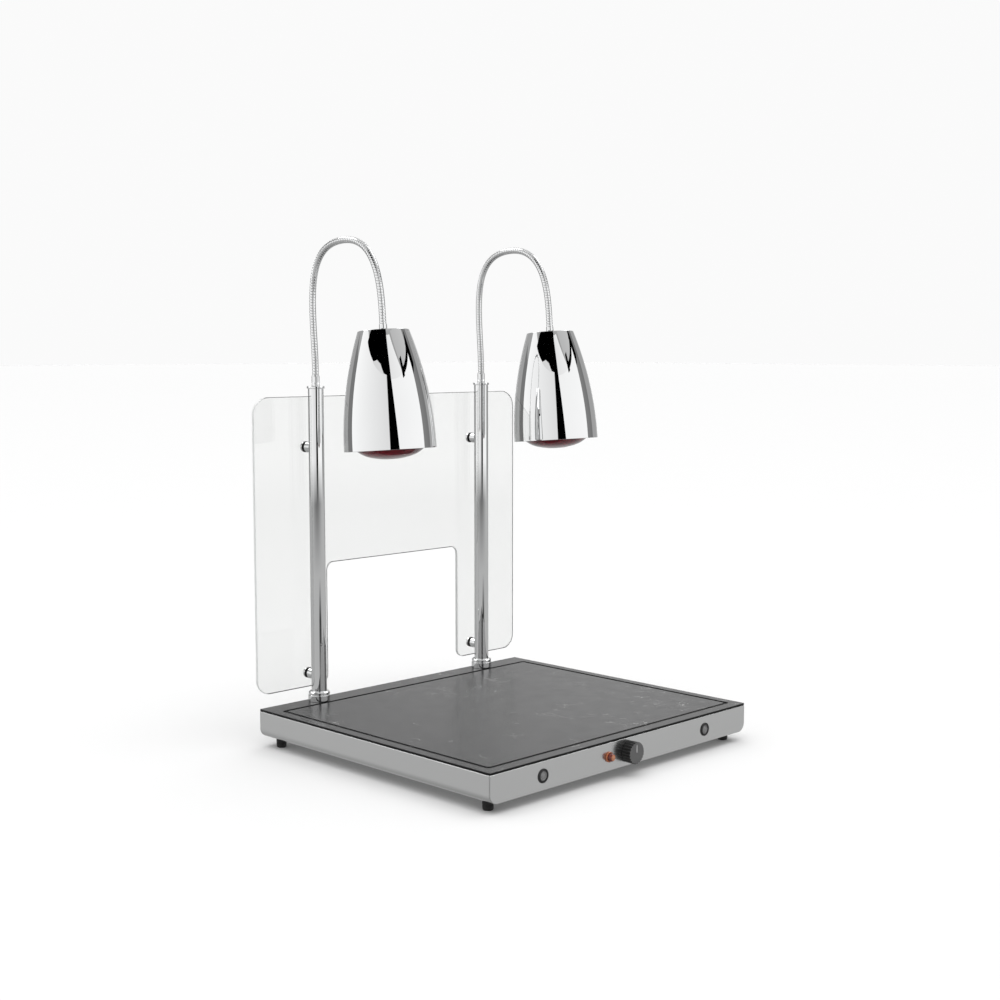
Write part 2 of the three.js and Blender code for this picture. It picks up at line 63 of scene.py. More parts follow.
SHARP_ANGLE = math.radians(38)
SIDES = (("left", -1), ("right", 1))


def box(node):
    """Lowest and highest corner of a CAD node, in millimetres."""
    low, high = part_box(node)
    return low / MM, high / MM


# ---------- places and sizes, from the frame ----------
BORDER_LOW, BORDER_HIGH = box("top_border")
PLATE_LOW, PLATE_HIGH = box("heated_plate")
SEAL_LOW, SEAL_HIGH = box("joint_seal")
SHELL_LOW, SHELL_HIGH = box("housing_shell")
PANEL_LOW, PANEL_HIGH = box("front_panel")
REAR_LOW, REAR_HIGH = box("rear_panel")
KNOB_LOW, KNOB_HIGH = box("thermostat_knob")
BEZEL_LOW, BEZEL_HIGH = box("right_switch_bezel")
PILOT_LOW, PILOT_HIGH = box("pilot_body")
LENS_LOW, LENS_HIGH = box("pilot_lens")
INLET_LOW, INLET_HIGH = box("mains_inlet")
POST_LOW, POST_HIGH = box("right_post")
COLLAR_LOW, COLLAR_HIGH = box("right_post_collar")
CAP_LOW, CAP_HIGH = box("right_post_cap")
FERRULE_HIGH = box("right_lower_ferrule")[1]
GUARD_LOW, GUARD_HIGH = box("guard_panel")
JOINTS = {joint["name"]: Vector(joint["pos_m"]) / MM for joint in frame["joints"] if "pos_m" in joint}

HALF_W = BORDER_HIGH.x
SHEET = PANEL_HIGH.y - PANEL_LOW.y          # thickness of the base's steel
BEND_R = 16
CONTROL_Z = (KNOB_LOW.z + KNOB_HIGH.z) / 2
PANEL_FACE = PANEL_LOW.y
PILOT_X = (PILOT_LOW.x + PILOT_HIGH.x) / 2
INLET_X = (INLET_LOW.x + INLET_HIGH.x) / 2
POST_X = (POST_LOW.x + POST_HIGH.x) / 2
POST_Y = (POST_LOW.y + POST_HIGH.y) / 2
POST_R = (POST_HIGH.x - POST_LOW.x) / 2
GAP = 0.3

NOTCH_X = 165                               # half width of the guard's pass-through
NOTCH_TOP = 315.5
LAMP_TILT = math.radians(4.64)
LAMP_JOINT_UP = 36                          # height of the lamp's joint over the shade's top
SHADE_H = 203
SHADE_TOP_R = 44
SHADE_RIM_R = 79
SHADE_T = 1.5
NECK_R = 6
NECK_PITCH = 4.9


# ---------- outlines ----------
def rounded(corners, steps=6):
    """Points through (x, y, radius) corners, each turned as an arc. Without a radius a corner stays sharp."""
    points = []
    for i, (x, y, *rest) in enumerate(corners):
        here = Vector((x, y))
        radius = rest[0] if rest else 0
        if radius <= 0:
            points.append(here)
            continue
        before = (Vector(corners[i - 1][:2]) - here).normalized()
        after = (Vector(corners[(i + 1) % len(corners)][:2]) - here).normalized()
        half = before.angle(after) / 2
        centre = here + (before + after).normalized() * (radius / math.sin(half))
        start = here + before * (radius / math.tan(half)) - centre
        sweep = math.pi - 2 * half
        turn = sweep if before.cross(after) < 0 else -sweep
        count = max(2, round(steps * sweep / (math.pi / 2)))
        points += [centre + Matrix.Rotation(turn * k / count, 2) @ start for k in range(count + 1)]
    return points


def rectangle(low_x, low_y, high_x, high_y, radius, steps=6):
    corners = ((low_x, low_y), (high_x, low_y), (high_x, high_y), (low_x, high_y))
    return rounded([(x, y, radius) for x, y in corners], steps)


def circle(x, y, radius, count=48):
    angles = [2 * math.pi * k / count for k in range(count)]
    return [Vector((x + radius * math.cos(a), y + radius * math.sin(a))) for a in angles]


def turned(outline, direction):
    """The outline, running counter-clockwise for direction 1 and clockwise for -1."""
    area = sum(p.cross(q) for p, q in zip(outline, outline[1:] + outline[:1]))
    return outline if area * direction > 0 else outline[::-1]


def inset(outline, distance):
    """The outline moved to its left-hand side, with mitred corners."""
    shifted = []
    for i, here in enumerate(outline):
        before = (here - outline[i - 1]).normalized()
        after = (outline[(i + 1) % len(outline)] - here).normalized()
        mitre = (before.orthogonal() + after.orthogonal()) / (1 + before.dot(after))
        shifted.append(here + mitre * distance)
    return shifted


# ---------- solids ----------
def upright(x, y, height):
    """An outline's x and y as X and Z, and its height along Y."""
    return (x, height, y)


def flat(x, y, height):
    return (x, y, height)


def loops_of(bm, outline, profile, place):
    """One ring of vertices for each (inset, height) of the profile."""
    return [[bm.verts.new(place(p.x, p.y, height)) for p in inset(outline, step)] for step, height in profile]


def skin(bm, rings, closed=False, around=True):
    """Faces between neighbouring rings, each of the same count or one point. Rows don't close around."""
    pairs = list(zip(rings, rings[1:]))
    if closed:
        pairs.append((rings[-1], rings[0]))
    for one, other in pairs:
        count = max(len(one), len(other))
        for k in range(count if around else count - 1):
            n = (k + 1) % count
            corners = (one[k % len(one)], one[n % len(one)], other[n % len(other)], other[k % len(other)])
            bm.faces.new(tuple(dict.fromkeys(corners)))


def plate(outline, holes, low, high, edge, place=flat, bm=None):
    """Slab between two heights, with its edges rounded to the radius given."""
    bm = bm or bmesh.new()
    steps = 3 if edge else 0
    arc = [(edge * (1 - math.sin(a)), edge * (1 - math.cos(a)))
           for a in (k / max(steps, 1) * math.pi / 2 for k in range(steps + 1))]
    profile = [(step, low + rise) for step, rise in arc] + [(step, high - rise) for step, rise in arc[::-1]]
    loops = [turned(outline, 1)] + [turned(hole, -1) for hole in holes]
    ends = ([], [])
    for loop in loops:
        rings = loops_of(bm, loop, profile, place)
        skin(bm, rings)
        for end, ring in zip(ends, (rings[0], rings[-1])):
            end += [bm.edges.get((v, ring[(k + 1) % len(ring)])) for k, v in enumerate(ring)]
    for end in ends:
        bmesh.ops.triangle_fill(bm, use_beauty=True, use_dissolve=False, edges=end)
    return bm


def band(outline, profile, place=flat):
    """Closed (inset, height) section carried round an outline."""
    bm = bmesh.new()
    skin(bm, loops_of(bm, turned(outline, 1), profile, place), closed=True)
    return bm


def spin(corners, segments=96, steps=4, shape=None, closed=False, bm=None):
    """Solid of revolution about Z through (radius, z, fillet) corners. shape(angle, radius) can widen it."""
    bm = bm or bmesh.new()
    rings = []
    for radius, z in rounded(corners, steps):
        if radius < 1e-6:
            rings.append([bm.verts.new((0, 0, z))])
            continue
        ring = []
        for k in range(segments):
            angle = 2 * math.pi * k / segments
            r = shape(angle, radius) if shape else radius
            ring.append(bm.verts.new((r * math.cos(angle), r * math.sin(angle), z)))
        rings.append(ring)
    skin(bm, rings, closed)
    return bm


def moved(bm, matrix):
    bm.transform(matrix)
    return bm


def facing_front(bm, x, y, z):
    """A solid built along +Z, turned so that +Z points to -Y, at that place."""
    return moved(bm, Matrix.Translation((x, y, z)) @ Matrix.Rotation(math.pi / 2, 4, "X"))


def facing_back(bm, x, y, z):
    return moved(bm, Matrix.Translation((x, y, z)) @ Matrix.Rotation(-math.pi / 2, 4, "X"))


def joined(parts):
    """Several solids in one mesh."""
    whole = bmesh.new()
    for part in parts:
        mesh = bpy.data.meshes.new("part")
        part.to_mesh(mesh)
        part.free()
        whole.from_mesh(mesh)
        bpy.data.meshes.remove(mesh)
    return whole


def hexagon(radius):
    """A spin() shape that turns circles up to that radius into hexagons."""
    def shape(angle, r):
        if r > radius + 1e-6:
            return r
        return r * math.cos(math.pi / 6) / math.cos((angle % (math.pi / 3)) - math.pi / 6)
    return shape


def new_object(name, bm, material):
    mesh = bpy.data.meshes.new(name)
    bm.to_mesh(mesh)
    bm.free()
    mesh.materials.append(material)
    obj = bpy.data.objects.new(name, mesh)
    bpy.context.scene.collection.objects.link(obj)
    return obj


def to_object(name, bm, material):
    """The solid as an object in metres, smooth but for its sharp edges."""
    bmesh.ops.recalc_face_normals(bm, faces=bm.faces)
    bm.transform(Matrix.Scale(MM, 4))
    obj = new_object(name, bm, material)
    obj.data.shade_smooth()
    obj.data.set_sharp_from_angle(angle=SHARP_ANGLE)
    return obj


def piece(name, bm, finish, body, *nodes):
    """A finished piece that rides on a body and stands for those CAD nodes. finish is (material, slot)."""
    material, slot = finish
    obj = to_object(name, bm, material)
    weighted = obj.modifiers.new("weighted_normals", "WEIGHTED_NORMAL")
    weighted.keep_sharp = True
    if body:
        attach(obj, body)
    if nodes:
        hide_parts(*nodes)
    return obj


def paint_faces(obj, material, chosen):
    """Gives the faces for which chosen(face) holds a second material."""
    obj.data.materials.append(material)
    for face in obj.data.polygons:
        if chosen(face):
            face.material_index = len(obj.data.materials) - 1


def carve(obj, cutters):
    """Cuts solids out of an object for good."""
    tool = to_object("cutter", joined(cutters), None)
    boolean = obj.modifiers.new("carve", "BOOLEAN")
    boolean.operation = "DIFFERENCE"
    boolean.solver = "EXACT"
    boolean.object = tool
    obj.modifiers.move(len(obj.modifiers) - 1, 0)
    weighted = obj.modifiers["weighted_normals"]
    weighted.show_viewport = False
    graph = bpy.context.evaluated_depsgraph_get()
    mesh = bpy.data.meshes.new_from_object(obj.evaluated_get(graph))
    obj.modifiers.remove(boolean)
    weighted.show_viewport = True
    obj.data = mesh
    mesh.set_sharp_from_angle(angle=SHARP_ANGLE)
    bpy.data.objects.remove(tool)


# ---------- materials ----------
def add_node(tree, kind, settings=(), **inputs):
    """A shader node with its settings. Its inputs are named, or i and a number. Outputs given are linked."""
    made = tree.nodes.new(f"ShaderNode{kind}")
    for key, value in dict(settings).items():
        setattr(made, key, value)
    for key, value in inputs.items():
        socket = made.inputs[int(key[1:])] if key[0] == "i" and key[1:].isdigit() else made.inputs[key]
        if isinstance(value, bpy.types.NodeSocket):
            tree.links.new(value, socket)
        else:
            socket.default_value = value
    return made


class Finish:
    """A Principled material. What is the same all over is set on the shader. The rest comes from nodes."""

    def __init__(self, name, **values):
        self.material = bpy.data.materials.new(name)
        self.material.use_nodes = True
        self.tree = self.material.node_tree
        self.shader = self.tree.nodes["Principled BSDF"]
        for socket, value in values.items():
            self.shader.inputs[socket.replace("_", " ")].default_value = value
        self.place = self.node("TexCoord").outputs["Object"]

    def node(self, kind, settings=(), **inputs):
        return add_node(self.tree, kind, settings, **inputs)

    def stretched(self, x, y, z):
        """Object coordinates scaled along each axis."""
        return self.node("Mapping", Vector=self.place, Scale=(x, y, z)).outputs[0]

    def noise(self, scale, detail=4, vector=None, roughness=0.5, distortion=0):
        made = self.node("TexNoise", Vector=vector or self.place, Scale=scale, Detail=detail,
                         Roughness=roughness, Distortion=distortion)
        return made.outputs["Fac"]

    def cells(self, scale, feature="F1", vector=None, output="Distance"):
        settings = {"feature": feature}
        made = self.node("TexVoronoi", settings, Vector=vector or self.place, Scale=scale)
        return made.outputs[output]

    def maths(self, operation, a, b=0.0):
        return self.node("Math", {"operation": operation}, i0=a, i1=b).outputs[0]

    def between(self, value, low, high, to_low=0.0, to_high=1.0):
        """value's stretch from low to high, brought to another stretch and kept within it."""
        settings = {"interpolation_type": "SMOOTHSTEP"}
        inputs = {"Value": value, "From Min": low, "From Max": high, "To Min": to_low, "To Max": to_high}
        return self.node("MapRange", settings, **inputs).outputs[0]

    def colours(self, factor, first, second):
        """A mix of two colours, each (r, g, b) or another node's output."""
        first, second = ((*c, 1) if isinstance(c, tuple) else c for c in (first, second))
        return self.node("Mix", {"data_type": "RGBA"}, i0=factor, i6=first, i7=second).outputs[2]

    def set(self, socket, value):
        self.tree.links.new(value, self.shader.inputs[socket])
        return self

    def rough(self, value, low, high):
        """Roughness between two limits, by the middle stretch of a noise."""
        return self.set("Roughness", self.between(value, 0.3, 0.7, low, high))

    def part(self, vector, axis):
        """x, y or z of a vector, for axis 0, 1 or 2."""
        return self.node("SeparateXYZ", Vector=vector).outputs[axis]

    def unless_reflected(self, plain, reflected):
        """Shows one shader to rays that met no gloss on their way and the other one to the rest."""
        depth = self.node("LightPath").outputs["Glossy Depth"]
        mixed = self.node("MixShader", i0=depth, i1=plain, i2=reflected)
        self.tree.links.new(mixed.outputs[0], self.tree.nodes["Material Output"].inputs[0])
        return self.material

    def bump(self, height, depth, strength=1.0):
        """Relief whose full height is depth metres."""
        made = self.node("Bump", Height=height, Distance=depth, Strength=strength)
        self.tree.links.new(made.outputs[0], self.shader.inputs["Normal"])
        return self


def grey(value):
    return (value, value, value)


def brushed_steel(name, x, y, z):
    """Satin steel whose grain runs where the scale is small."""
    steel = Finish(name, Metallic=1.0)
    grain = steel.noise(1, 6, steel.stretched(x, y, z), roughness=0.65)
    cloud = steel.noise(5, 3)
    steel.set("Base Color", steel.colours(grain, (0.78, 0.785, 0.782), (0.86, 0.865, 0.862)))
    lines = steel.between(grain, 0.25, 0.75, 0.21, 0.25)
    worn = steel.maths("ADD", lines, steel.between(cloud, 0.3, 0.7, -0.02, 0.02))
    return steel.set("Roughness", worn).bump(grain, 0.000004, 0.06).material


def polished_chrome():
    chrome = Finish("polished_chrome", Metallic=1.0)
    wiped = chrome.noise(9, 5, distortion=0.6)
    fine = chrome.noise(220, 3)
    chrome.set("Base Color", chrome.colours(wiped, (0.86, 0.865, 0.87), (0.91, 0.915, 0.915)))
    smears = chrome.between(wiped, 0.4, 0.75, 0.01, 0.03)
    haze = chrome.maths("ADD", smears, chrome.between(fine, 0.55, 0.8, 0, 0.008))
    return chrome.set("Roughness", haze).bump(chrome.noise(24, 2), 0.00001, 0.1).material


def turned_steel():
    """Screw and pin metal with a fine machined grain."""
    steel = Finish("turned_steel", Metallic=1.0)
    grain = steel.noise(1, 4, steel.stretched(900, 900, 900))
    steel.set("Base Color", steel.colours(grain, grey(0.52), grey(0.62)))
    return steel.rough(grain, 0.2, 0.32).bump(grain, 0.00001, 0.3).material


def black_stone():
    """Honed black stone with fine broken pale veins that gather in places, small flecks and faint clouds."""
    stone = Finish("black_stone", IOR=1.5)
    swirl = stone.node("TexNoise", Vector=stone.place, Scale=9.0, Detail=4.0).outputs["Color"]
    mixed = stone.node("Mix", {"data_type": "VECTOR"}, i0=0.12, i4=stone.place, i5=swirl)
    bent = mixed.outputs[1]
    gathered = stone.between(stone.noise(5, 3), 0.5, 0.62)
    wisps = []
    # Size and width of the veins, and the size and rarity of the patches that show them.
    for scale, width, spread, sparse in ((11, 0.006, 26, 0.57), (24, 0.012, 34, 0.56), (52, 0.02, 22, 0.54)):
        edge = stone.cells(scale, "DISTANCE_TO_EDGE", bent)
        line = stone.between(edge, 0.0, width, 1.0, 0.0)
        cover = stone.between(stone.noise(spread, 4), sparse, sparse + 0.08)
        wisps.append(stone.maths("MULTIPLY", line, cover))
    fine = stone.maths("MULTIPLY", stone.maths("MAXIMUM", *wisps[1:]), gathered)
    veins = stone.maths("MAXIMUM", wisps[0], fine)
    fleck = stone.between(stone.cells(150), 0.04, 0.1, 1.0, 0.0)
    fleck = stone.maths("MULTIPLY", fleck, stone.between(stone.noise(40, 2), 0.6, 0.66))
    marks = stone.maths("MAXIMUM", veins, stone.maths("MULTIPLY", fleck, 0.6))
    cloud = stone.noise(4.5, 6, roughness=0.6)
    ground = stone.colours(cloud, (0.022, 0.022, 0.023), (0.04, 0.04, 0.041))
    stone.set("Base Color", stone.colours(stone.maths("MULTIPLY", marks, 0.6), ground, (0.5, 0.5, 0.49)))
    honed = stone.noise(40, 3)
    return stone.rough(honed, 0.23, 0.27).bump(honed, 0.000006, 0.1).material


def stone_side_painted_shade():
    """Sawn side of the stone, with painted shade: coloured darker than the stone's top."""
    edge = Finish("stone_side_painted_shade", IOR=1.3)
    saw = edge.noise(1, 4, edge.stretched(40, 40, 900))
    # Painted shade: the side is coloured darker than the top of the stone.
    edge.set("Base Color", edge.colours(saw, grey(0.004), grey(0.01)))
    return edge.rough(saw, 0.4, 0.55).bump(saw, 0.00002, 0.3).material


def moulded(name, dark, light, rough, grain=700, depth=0.00003, **values):
    """Moulded plastic or rubber with a fine spark-eroded grain and a slightly uneven gloss."""
    plastic = Finish(name, **values)
    cloud = plastic.noise(25, 4)
    skin_grain = plastic.noise(grain, 3)
    plastic.set("Base Color", plastic.colours(cloud, dark, light))
    return plastic.rough(cloud, rough - 0.05, rough + 0.06).bump(skin_grain, depth, 0.5).material


def fibre_blanket():
    wool = Finish("fibre_blanket")
    fibres = wool.noise(60, 8, wool.stretched(1, 4, 9), roughness=0.75, distortion=1.5)
    wool.set("Base Color", wool.colours(fibres, (0.62, 0.57, 0.42), (0.86, 0.83, 0.74)))
    return wool.rough(fibres, 0.85, 1.0).bump(fibres, 0.001, 0.8).material


def mica_sheet():
    mica = Finish("mica_sheet")
    flakes = mica.cells(120, output="Color")
    grain = mica.node("SeparateColor", Color=flakes).outputs[0]
    mica.set("Base Color", mica.colours(grain, (0.33, 0.27, 0.19), (0.52, 0.46, 0.36)))
    return mica.set("Roughness", mica.between(grain, 0, 1, 0.35, 0.6)).bump(grain, 0.0001, 0.4).material


def clear_sheet():
    """Cast clear sheet, very slightly grey, with a trace of wiping haze."""
    clear = Finish("clear_sheet", IOR=1.49, Transmission_Weight=1.0)
    wiped = clear.noise(6, 5, clear.stretched(1, 1, 0.4), distortion=0.8)
    clear.set("Base Color", clear.colours(wiped, (0.9, 0.905, 0.9), (0.915, 0.92, 0.915)))
    return clear.set("Roughness", clear.between(wiped, 0.45, 0.8, 0.0, 0.015)).material


def edge_painted_lit_and_shaded():
    """Cut and polished edge of the clear sheet, with painted light and shade: painted pale where it stands
    upright, painted dark where it lies level.
    """
    edge = Finish("edge_painted_lit_and_shaded", IOR=1.49)
    normal = edge.node("NewGeometry").outputs["Normal"]
    sideways = edge.maths("ABSOLUTE", edge.part(normal, 0))
    cloud = edge.noise(30, 3)
    pale = edge.colours(cloud, (0.74, 0.75, 0.745), (0.84, 0.85, 0.845))
    # Painted light and shade: upright edges get a pale tone, level edges a dark one.
    edge.set("Base Color", edge.colours(edge.between(sideways, 0.08, 0.25), (0.05, 0.055, 0.053), pale))
    return edge.rough(cloud, 0.12, 0.22).bump(cloud, 0.00003, 0.3).material


def ruby_glass():
    """Ruby glass of the bulb's face, darker over the silvered reflector behind it."""
    ruby = Finish("ruby_glass", IOR=1.52, Coat_Weight=1.0, Coat_Roughness=0.03)
    cloud = ruby.noise(18, 3)
    behind = ruby.between(ruby.part(ruby.place, 2), 0.525, 0.56)
    front = ruby.colours(cloud, (0.1, 0.004, 0.01), (0.15, 0.007, 0.014))
    ruby.set("Base Color", ruby.colours(behind, front, (0.05, 0.004, 0.005)))
    return ruby.rough(cloud, 0.06, 0.14).bump(cloud, 0.00008, 0.3).material


def tinted_lens():
    """Ribbed red lens: dark where it stands in its ring, with a painted highlight that makes it paler towards
    its tip.
    """
    lens = Finish("tinted_lens", IOR=1.49, Coat_Weight=0.6)
    settings = {"wave_type": "RINGS", "rings_direction": "Y"}
    ribs = lens.node("TexWave", settings, Vector=lens.place, Scale=260.0).outputs["Fac"]
    deep = lens.colours(ribs, (0.08, 0.012, 0.01), (0.2, 0.03, 0.018))
    end = LENS_LOW.y * MM
    # Painted highlight: the lens colour turns paler towards its tip.
    tip = lens.between(lens.part(lens.place, 1), end + 0.0006, end + 0.003, 1.0, 0.0)
    lens.set("Base Color", lens.colours(tip, deep, (0.5, 0.2, 0.1)))
    return lens.set("Roughness", lens.between(ribs, 0, 1, 0.1, 0.2)).bump(ribs, 0.0001, 0.3).material


def glazed_ceramic():
    glaze = Finish("glazed_ceramic", Coat_Weight=0.8, Coat_Roughness=0.05)
    cloud = glaze.noise(40, 4)
    glaze.set("Base Color", glaze.colours(cloud, (0.78, 0.76, 0.7), (0.88, 0.87, 0.83)))
    return glaze.rough(cloud, 0.25, 0.4).bump(cloud, 0.0001, 0.2).material


def plated_brass():
    brass = Finish("plated_brass", Metallic=1.0)
    tarnish = brass.noise(70, 5)
    brass.set("Base Color", brass.colours(tarnish, (0.62, 0.5, 0.3), (0.78, 0.68, 0.45)))
    return brass.rough(tarnish, 0.18, 0.38).bump(tarnish, 0.00005, 0.3).material


# Material of each finish, and the slot that it fills. Painted details have no slot of their own.
FINISH = {
    "steel_across": (brushed_steel("steel_across", 3, 3, 1400), "brushed_stainless"),
    "steel_along": (brushed_steel("steel_along", 1400, 3, 1400), "brushed_stainless"),
    "chrome": (polished_chrome(), "polished_chrome"),
    "screw": (turned_steel(), "spindle_steel"),
    "stone": (black_stone(), "black_stone"),
    "silicone": (moulded("dark_silicone", grey(0.008), grey(0.014), 0.55, 300, 0.00006), "dark_silicone"),
    "black": (moulded("black_plastic", grey(0.014), grey(0.022), 0.38), "black_plastic"),
    "grey": (moulded("grey_plastic", grey(0.19), grey(0.25), 0.2, Coat_Weight=0.5), "grey_plastic"),
    "knob": (moulded("knob_plastic", grey(0.008), grey(0.014), 0.42), "black_plastic"),
    "knob_face": (moulded("knob_face_plastic", grey(0.1), grey(0.13), 0.45), None),
    "rubber": (moulded("black_rubber", grey(0.008), grey(0.016), 0.7, 260, 0.00008), "black_rubber"),
    "amber": (moulded("amber_plastic", (0.36, 0.09, 0.03), (0.46, 0.14, 0.05), 0.22, Coat_Weight=0.5),
              "amber_plastic"),
    "lens": (tinted_lens(), "red_lens"),
    "clear": (clear_sheet(), "clear_acrylic"),
    "ceramic": (glazed_ceramic(), "holder_ceramic"),
    "brass": (plated_brass(), "cap_brass"),
    "ruby": (ruby_glass(), "ruby_glass"),
    "pointer": (moulded("pointer_paint", grey(0.62), grey(0.7), 0.45), None),
}


# ---------- base ----------
def make_housing():
    low, top = SHELL_LOW.z, SHELL_HIGH.z
    outline = rounded([
        (-HALF_W, top, 1.1), (-HALF_W, low, BEND_R), (HALF_W, low, BEND_R), (HALF_W, top, 1.1),
        (HALF_W - SHEET, top, 0.3), (HALF_W - SHEET, low + SHEET, BEND_R - SHEET),
        (-HALF_W + SHEET, low + SHEET, BEND_R - SHEET), (-HALF_W + SHEET, top, 0.3),
    ], 12)
    solid = plate(outline, [], SHELL_LOW.y, SHELL_HIGH.y, 0.15, upright)
    shell = piece("base_housing", solid, FINISH["steel_along"], "base", "housing_shell")
    half_l, half_w, pitch = 60, 3, 26
    vents = [rectangle(-half_l, y - half_w, half_l, y + half_w, half_w - 0.1)
             for y in (step * pitch for step in range(-2, 3))]
    carve(shell, [plate(vent, [], low - 5, low + 5, 0) for vent in vents])


def end_panel_outline():
    low, top = PANEL_LOW.z, PANEL_HIGH.z
    corners = [(-HALF_W, low, BEND_R), (HALF_W, low, BEND_R), (HALF_W, top, 0.8), (-HALF_W, top, 0.8)]
    return rounded(corners, 12)


def make_end_panels():
    switch_hole, bush_hole, pilot_hole = 9.6, 5.4, 7.3
    holes = [circle(x, CONTROL_Z, switch_hole) for x in (-POST_X, POST_X)]
    holes += [circle(0, CONTROL_Z, bush_hole), circle(PILOT_X, CONTROL_Z, pilot_hole)]
    front = plate(end_panel_outline(), holes, PANEL_LOW.y, PANEL_HIGH.y, 0.7, upright)
    piece("base_front_panel", front, FINISH["steel_across"], "base", "front_panel")
    half_w, half_h = 14.4, 10.4
    hole = rectangle(INLET_X - half_w, CONTROL_Z - half_h, INLET_X + half_w, CONTROL_Z + half_h, 2)
    rear = plate(end_panel_outline(), [hole], REAR_LOW.y, REAR_HIGH.y, 0.5, upright)
    piece("base_rear_panel", rear, FINISH["steel_across"], "base", "rear_panel")
    edge, down = 14, 9
    screws = [facing_back(pan_head(3.6, 1.9), x, REAR_HIGH.y, PANEL_HIGH.z - down)
              for x in (-HALF_W + edge, -HALF_W / 3, HALF_W - edge)]
    piece("rear_panel_screws", joined(screws), FINISH["screw"], "base")


def pan_head(radius, height):
    """Pan head with a hexagon socket, its seat at z = 0."""
    socket = radius * 0.5
    return spin([
        (0, 0.02), (radius, 0.02, 0.1), (radius, height * 0.55, height * 0.4), (radius * 0.62, height, 0.4),
        (socket, height, 0.05), (socket, height * 0.3), (0, height * 0.3),
    ], 48, 4, hexagon(socket))


def make_stone():
    outer = rectangle(BORDER_LOW.x, BORDER_LOW.y, BORDER_HIGH.x, BORDER_HIGH.y, 1.6, 4)
    seal_w = SEAL_HIGH.x - PLATE_HIGH.x
    opening = rectangle(
        PLATE_LOW.x - seal_w - GAP, PLATE_LOW.y - seal_w - GAP,
        PLATE_HIGH.x + seal_w + GAP, PLATE_HIGH.y + seal_w + GAP, 8, 8)
    post_holes = [circle(s * POST_X, POST_Y, POST_R + 0.6, 64) for _, s in SIDES]
    border = plate(outer, [opening, *post_holes], BORDER_LOW.z, BORDER_HIGH.z, 0.3)
    stone_border = piece("stone_border", border, FINISH["stone"], "base", "top_border")
    # The stone's sides get painted shade, a darker colour than its top.
    paint_faces(stone_border, stone_side_painted_shade(), lambda face: abs(face.normal.z) < 0.3)
    inner = rectangle(PLATE_LOW.x, PLATE_LOW.y, PLATE_HIGH.x, PLATE_HIGH.y, 4, 8)
    slab = plate(inner, [], PLATE_LOW.z, PLATE_HIGH.z, 0.55)
    piece("stone_plate", slab, FINISH["stone"], "base", "heated_plate")
    half = seal_w / 2
    middle = rectangle(PLATE_LOW.x - half, PLATE_LOW.y - half, PLATE_HIGH.x + half, PLATE_HIGH.y + half, 6, 8)
    low, top = SEAL_LOW.z, SEAL_HIGH.z
    sag = 0.7
    section = [(-half, low), (-half, top)]
    section += [(half * k / 4, top - sag * (1 - (k / 4) ** 2)) for k in range(-3, 4)]
    section += [(half, top), (half, low)]
    piece("silicone_joint", band(middle, section), FINISH["silicone"], "base", "joint_seal")


def make_feet():
    for node in ("foot_front_left", "foot_front_right", "foot_rear_left", "foot_rear_right"):
        low, high = box(node)
        radius = (high.x - low.x) / 2
        top = SHELL_LOW.z - GAP
        foot = spin([
            (0, 3.2), (3.4, 3.2, 0.3), (3.4, 0.5), (4.6, 0.02, 0.4), (radius - 1.4, 0.02, 0.7),
            (radius - 0.5, 1.6, 0.6), (radius - 0.2, top * 0.45, 0.3), (radius - 0.9, top * 0.5, 0.3),
            (radius - 0.1, top * 0.56, 0.3), (radius, top - 1.2, 0.5), (radius - 1.2, top, 0.4),
            (3, top), (3, high.z), (0, high.z),
        ], 64, 4)
        moved(foot, Matrix.Translation(((low.x + high.x) / 2, (low.y + high.y) / 2, 0)))
        piece(f"rubber_{node}", foot, FINISH["rubber"], "base", node)


def make_inlet():
    x = INLET_X
    half_w = (INLET_HIGH.x - INLET_LOW.x) / 2
    half_h = (INLET_HIGH.z - INLET_LOW.z) / 2
    seat = REAR_HIGH.y + GAP
    back = INLET_HIGH.y
    floor = REAR_HIGH.y - 14

    def mouth(w, h, chamfer):
        """Socket outline with its two upper corners cut off."""
        z = CONTROL_Z
        return rounded([
            (x - w, z - h, 1.5), (x + w, z - h, 1.5), (x + w, z + h - chamfer, 1),
            (x + w - chamfer, z + h, 1), (x - w + chamfer, z + h, 1), (x - w, z + h - chamfer, 1),
        ], 5)

    opening = mouth(12.2, 8.2, 4)
    flange = rectangle(x - half_w, CONTROL_Z - half_h, x + half_w, CONTROL_Z + half_h, 4, 8)
    wall = [(0, back - 0.4), (0, floor), (-1.7, floor), (-1.7, seat - 1), (-1.7, seat)]
    socket_wall = band(opening, wall, upright)
    ground = plate(mouth(12.1, 8.1, 4), [], floor - 1.5, floor, 0.2, upright)
    shell = joined([plate(flange, [opening], seat, back, 0.5, upright), socket_wall, ground])
    piece("inlet_socket", shell, FINISH["black"], "base", "mains_inlet")
    pins = [
        plate(rectangle(x + dx - 1, CONTROL_Z + dz - 2, x + dx + 1, CONTROL_Z + dz + 2, 0.6, 4), [],
              floor - 0.5, REAR_HIGH.y - 4, 0.5, upright)
        for dx, dz in ((-7, -2), (0, 2), (7, -2))
    ]
    piece("inlet_pins", joined(pins), FINISH["screw"], "base")
    screws = [facing_back(pan_head(2.8, 1.4), x + s * (half_w - 5), back, CONTROL_Z) for _, s in SIDES]
    piece("inlet_screws", joined(screws), FINISH["screw"], "base")


def finish_inner_parts():
    """The parts inside the base keep their CAD shape."""
    inside = {
        "support_tray": FINISH["steel_along"][0],
        "insulation_board": fibre_blanket(),
        "heater_mat": mica_sheet(),
        "terminal_block": FINISH["grey"][0],
        "thermostat_body": FINISH["grey"][0],
        "thermostat_spindle": FINISH["screw"][0],
        "left_switch_body": FINISH["black"][0],
        "right_switch_body": FINISH["black"][0],
    }
    for node, material in inside.items():
        mesh = frame["nodes"][node].data
        mesh.materials.clear()
        mesh.materials.append(material)


